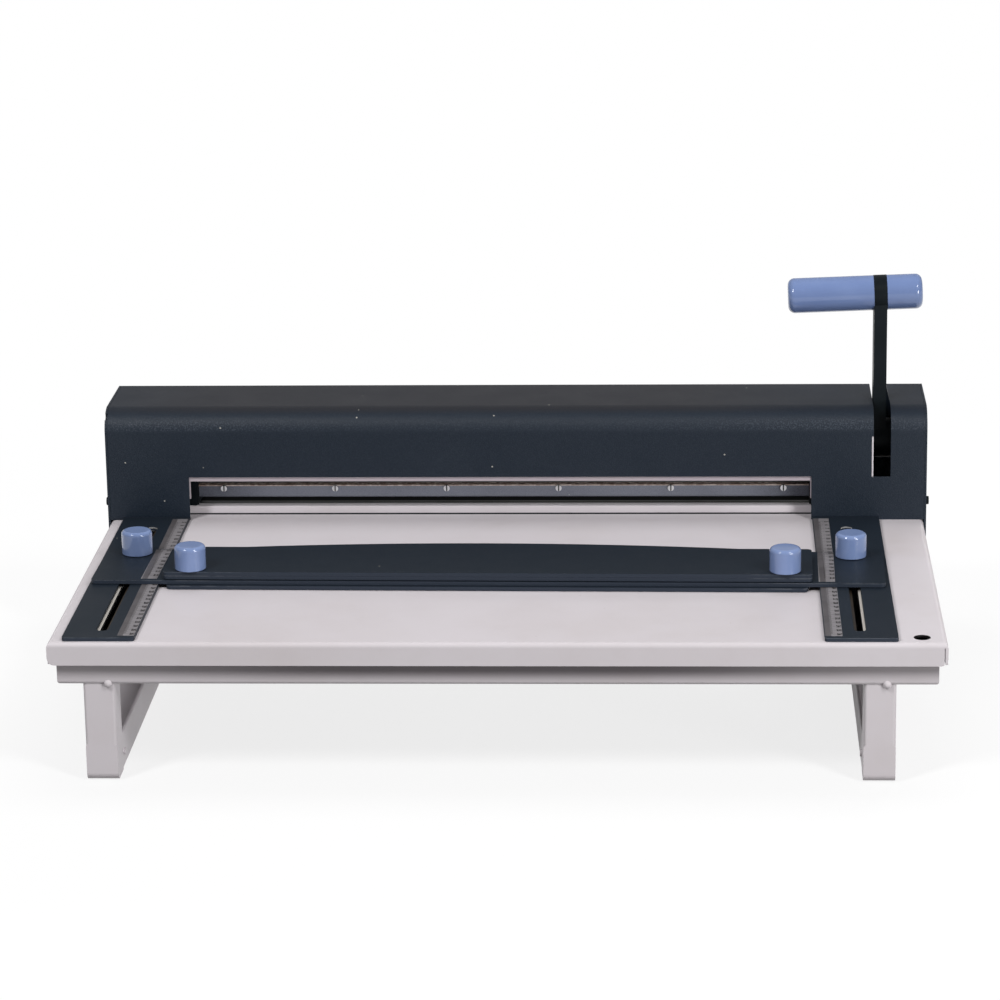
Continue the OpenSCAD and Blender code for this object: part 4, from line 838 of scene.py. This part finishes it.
def graduations(node, name, x_low, y_low, y_high, body):
    """Millimetre, half-centimetre and centimetre marks and the figures of one ruler."""
    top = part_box(node)[1][2]
    first = math.ceil((CREASE_LINE - y_high + MM) / CM)
    last = math.floor((CREASE_LINE - y_low - MM) / CM)
    start = CREASE_LINE - first * CM
    count = last - first + 1
    band = x_low + TICKS_FROM
    marks = [
        ticks(name + "_mm", band, band + TICK_MM, start, (count - 1) * 10 + 1, MM, top),
        ticks(name + "_half", band, band + TICK_HALF, start - CM / 2, count - 1, CM, top),
        ticks(name + "_cm", band, band + TICK_CM, start, count, CM, top),
    ]
    for n in range(first, last + 1):
        marks.append(figure(str(n), x_low + FIGURE_X, CREASE_LINE - n * CM - FIGURE_DROP, top))
    made = join(marks, name)
    paint(made, FINISH["ink"])
    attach(made, body)
    return made


def gauge_skew():
    """The angle that the gauge stands at, from the way its stop slides."""
    across, ahead, _ = frame_joint("stop_adjust")["axis"]
    return math.atan2(across, ahead)


def gauge_pivot():
    """The middle between the two slide knobs, which the gauge is turned about."""
    left, right = (Vector(frame_joint(side + "_slide_turn")["pos_m"]) for side in ("left", "right"))
    return (left + right) / 2


def skewed(obj):
    """Turns a piece that was laid out square to the place where the gauge stands."""
    pivot = gauge_pivot()
    turn = Matrix.Rotation(-gauge_skew(), 4, "Z")
    obj.data.transform(Matrix.Translation(pivot) @ turn @ Matrix.Translation(-pivot))


def bar_ruler_reach():
    """The front and back ends of the bar's rulers before the gauge was turned."""
    low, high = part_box("bar_rulers")
    spread = (high[0] - low[0]) * math.sin(gauge_skew())
    return low[1] + spread / 2, high[1] - spread / 2


def rulers():
    """The marks of the two long rulers, and of the two short ones that are let into the bar."""
    bar_low, bar_high = bar_ruler_reach()
    for side in ("left", "right"):
        low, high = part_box(side + "_ruler")
        graduations(side + "_ruler", side + "_ruler_marks", low[0], low[1], high[1], "base")
        skewed(graduations("bar_rulers", side + "_bar_ruler_marks", low[0], bar_low, bar_high, "gauge"))


# Springs: a round wire with its end turns closed
SPRING_TURNS = 5
SPRING_WIRE = 0.0012
SPRING_STEPS = 36
WIRE_SHARE = 0.98
CLOSED_LAY = 1.05


def spring(node, name):
    """The return spring as one round wire along a helix, capped at both ends."""
    low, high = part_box(node)
    middle = ((low[0] + high[0]) / 2, (low[1] + high[1]) / 2)
    coil_r = (high[0] - low[0]) / 2 - SPRING_WIRE / 2
    rise = high[2] - low[2] - SPRING_WIRE
    curve = bpy.data.curves.new(name, "CURVE")
    curve.dimensions = "3D"
    curve.bevel_depth = SPRING_WIRE / 2 * WIRE_SHARE
    curve.bevel_resolution = 3
    curve.use_fill_caps = True
    count = SPRING_TURNS * SPRING_STEPS + 1
    line = curve.splines.new("POLY")
    line.points.add(count - 1)
    flat = 1 / SPRING_TURNS
    lay = SPRING_WIRE * CLOSED_LAY
    for i in range(count):
        u = i / (count - 1)
        angle = 2 * math.pi * SPRING_TURNS * u
        z = lay * min(1, u / flat) + lay * max(0, (u - 1 + flat) / flat)
        z += (rise - 2 * lay) * min(1, max(0, (u - flat) / (1 - 2 * flat)))
        line.points[i].co = (middle[0] + coil_r * math.cos(angle), middle[1] + coil_r * math.sin(angle),
                             low[2] + SPRING_WIRE / 2 + z, 1)
    obj = bpy.data.objects.new(name, curve)
    bpy.context.scene.collection.objects.link(obj)
    pick(obj)
    bpy.ops.object.convert(target="MESH")
    obj = bpy.context.object
    smooth(obj, 60)
    paint(obj, FINISH["spring_steel"])
    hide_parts(node)
    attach(obj, "base")
    travel = frame_joint("beam_press")["range_m"][1]
    1 - travel / (high[2] - low[2])
    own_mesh(obj)


def camera():
    """The photograph's view, with no shift and no depth of field."""
    level = math.cos(LOOK_DOWN)
    ahead = Vector((-math.sin(LOOK_SIDE) * level, math.cos(LOOK_SIDE) * level, -math.sin(LOOK_DOWN)))
    right = Vector((math.cos(LOOK_SIDE), math.sin(LOOK_SIDE), 0))
    down = ahead.cross(right)
    across = right * math.cos(ROLL) + down * math.sin(ROLL)
    below = down * math.cos(ROLL) - right * math.sin(ROLL)
    data = bpy.data.cameras.new("camera")
    data.lens, data.sensor_width, data.clip_end = LENS_MM, SENSOR_MM, 100
    obj = bpy.data.objects.new("camera", data)
    bpy.context.scene.collection.objects.link(obj)
    turn = Matrix((across, -below, -ahead)).transposed().to_4x4()
    obj.matrix_world = Matrix.Translation(CAMERA_AT) @ turn
    bpy.context.scene.camera = obj


def soft_box(name, at, towards, size, watts, mirrored):
    data = bpy.data.lights.new(name, "AREA")
    data.shape = "RECTANGLE"
    data.size, data.size_y = size
    data.energy = watts
    obj = bpy.data.objects.new(name, data)
    bpy.context.scene.collection.objects.link(obj)
    obj.location = at
    obj.rotation_euler = (Vector(towards) - Vector(at)).to_track_quat("-Z", "Y").to_euler()
    obj.visible_camera = False
    obj.visible_glossy = mirrored


def studio():
    """The soft boxes, and a faint light from all round that the camera and glossy faces see brighter."""
    for row in SOFT_BOXES:
        soft_box(*row)
    world = bpy.data.worlds.new("studio_air")
    bpy.context.scene.world = world
    world.use_nodes = True
    nodes, links = world.node_tree.nodes, world.node_tree.links
    nodes.clear()
    path = nodes.new("ShaderNodeLightPath")
    air = nodes.new("ShaderNodeBackground")
    air.inputs[0].default_value, air.inputs[1].default_value = WHITE, AIR_LIGHT
    seen_by = (("Is Glossy Ray", GLOSS_AIR), ("Is Transmission Ray", 1.0), ("Is Camera Ray", 1.0))
    for ray, strength in seen_by:
        seen = nodes.new("ShaderNodeBackground")
        seen.inputs[0].default_value, seen.inputs[1].default_value = WHITE, strength
        mixed = nodes.new("ShaderNodeMixShader")
        links.new(path.outputs[ray], mixed.inputs[0])
        links.new(air.outputs[0], mixed.inputs[1])
        links.new(seen.outputs[0], mixed.inputs[2])
        air = mixed
    links.new(air.outputs[0], nodes.new("ShaderNodeOutputWorld").inputs[0])


def floor():
    """White to the camera, with a shadow near the machine, and greyer to the light it throws back."""
    bpy.ops.object.select_all(action="DESELECT")
    bpy.ops.mesh.primitive_plane_add(size=FLOOR_SIDE, location=(0, 0, -FLOOR_LOW))
    obj = bpy.context.object
    obj.name = "studio_floor"
    settle(obj)
    f = Finish("studio_floor")
    paper = f.node("ShaderNodeBsdfDiffuse", links={0: FLOOR_PAPER})
    glow = f.node("ShaderNodeEmission", links={0: WHITE, 1: 1.0})
    ahead = f.y - SHADOW_MIDDLE_Y
    far = (f.x * f.x + ahead * ahead).step(*SHADOW_FADES)
    share = FLOOR_GLOW + far * (1 - FLOOR_GLOW)
    seen = f.node("ShaderNodeMixShader", links={0: share, 1: paper.outputs[0], 2: glow.outputs[0]})
    thrown = f.node("ShaderNodeBsdfDiffuse", links={0: (FLOOR_BOUNCE, FLOOR_BOUNCE, FLOOR_BOUNCE, 1)})
    path = f.node("ShaderNodeLightPath")
    camera_ray, glossy_ray, clear_ray = (
        Num(f, path.outputs["Is " + ray + " Ray"]) for ray in ("Camera", "Glossy", "Transmission"))
    direct = camera_ray + glossy_ray + clear_ray
    both = f.node("ShaderNodeMixShader", links={0: direct, 1: thrown.outputs[0], 2: seen.outputs[0]})
    f.node("ShaderNodeOutputMaterial", links={0: both.outputs[0]})
    paint(obj, f.material)


camera()
bpy.context.scene.view_settings.view_transform = "Standard"
studio()
floor()
dress_solids()
for node in KNOBS:
    knob(node)
grip("long_grip_sleeve", -1)
grip("short_grip_sleeve", 1)
rulers()
spring("left_return_spring", "left_spring_wire")
spring("right_return_spring", "right_spring_wire")
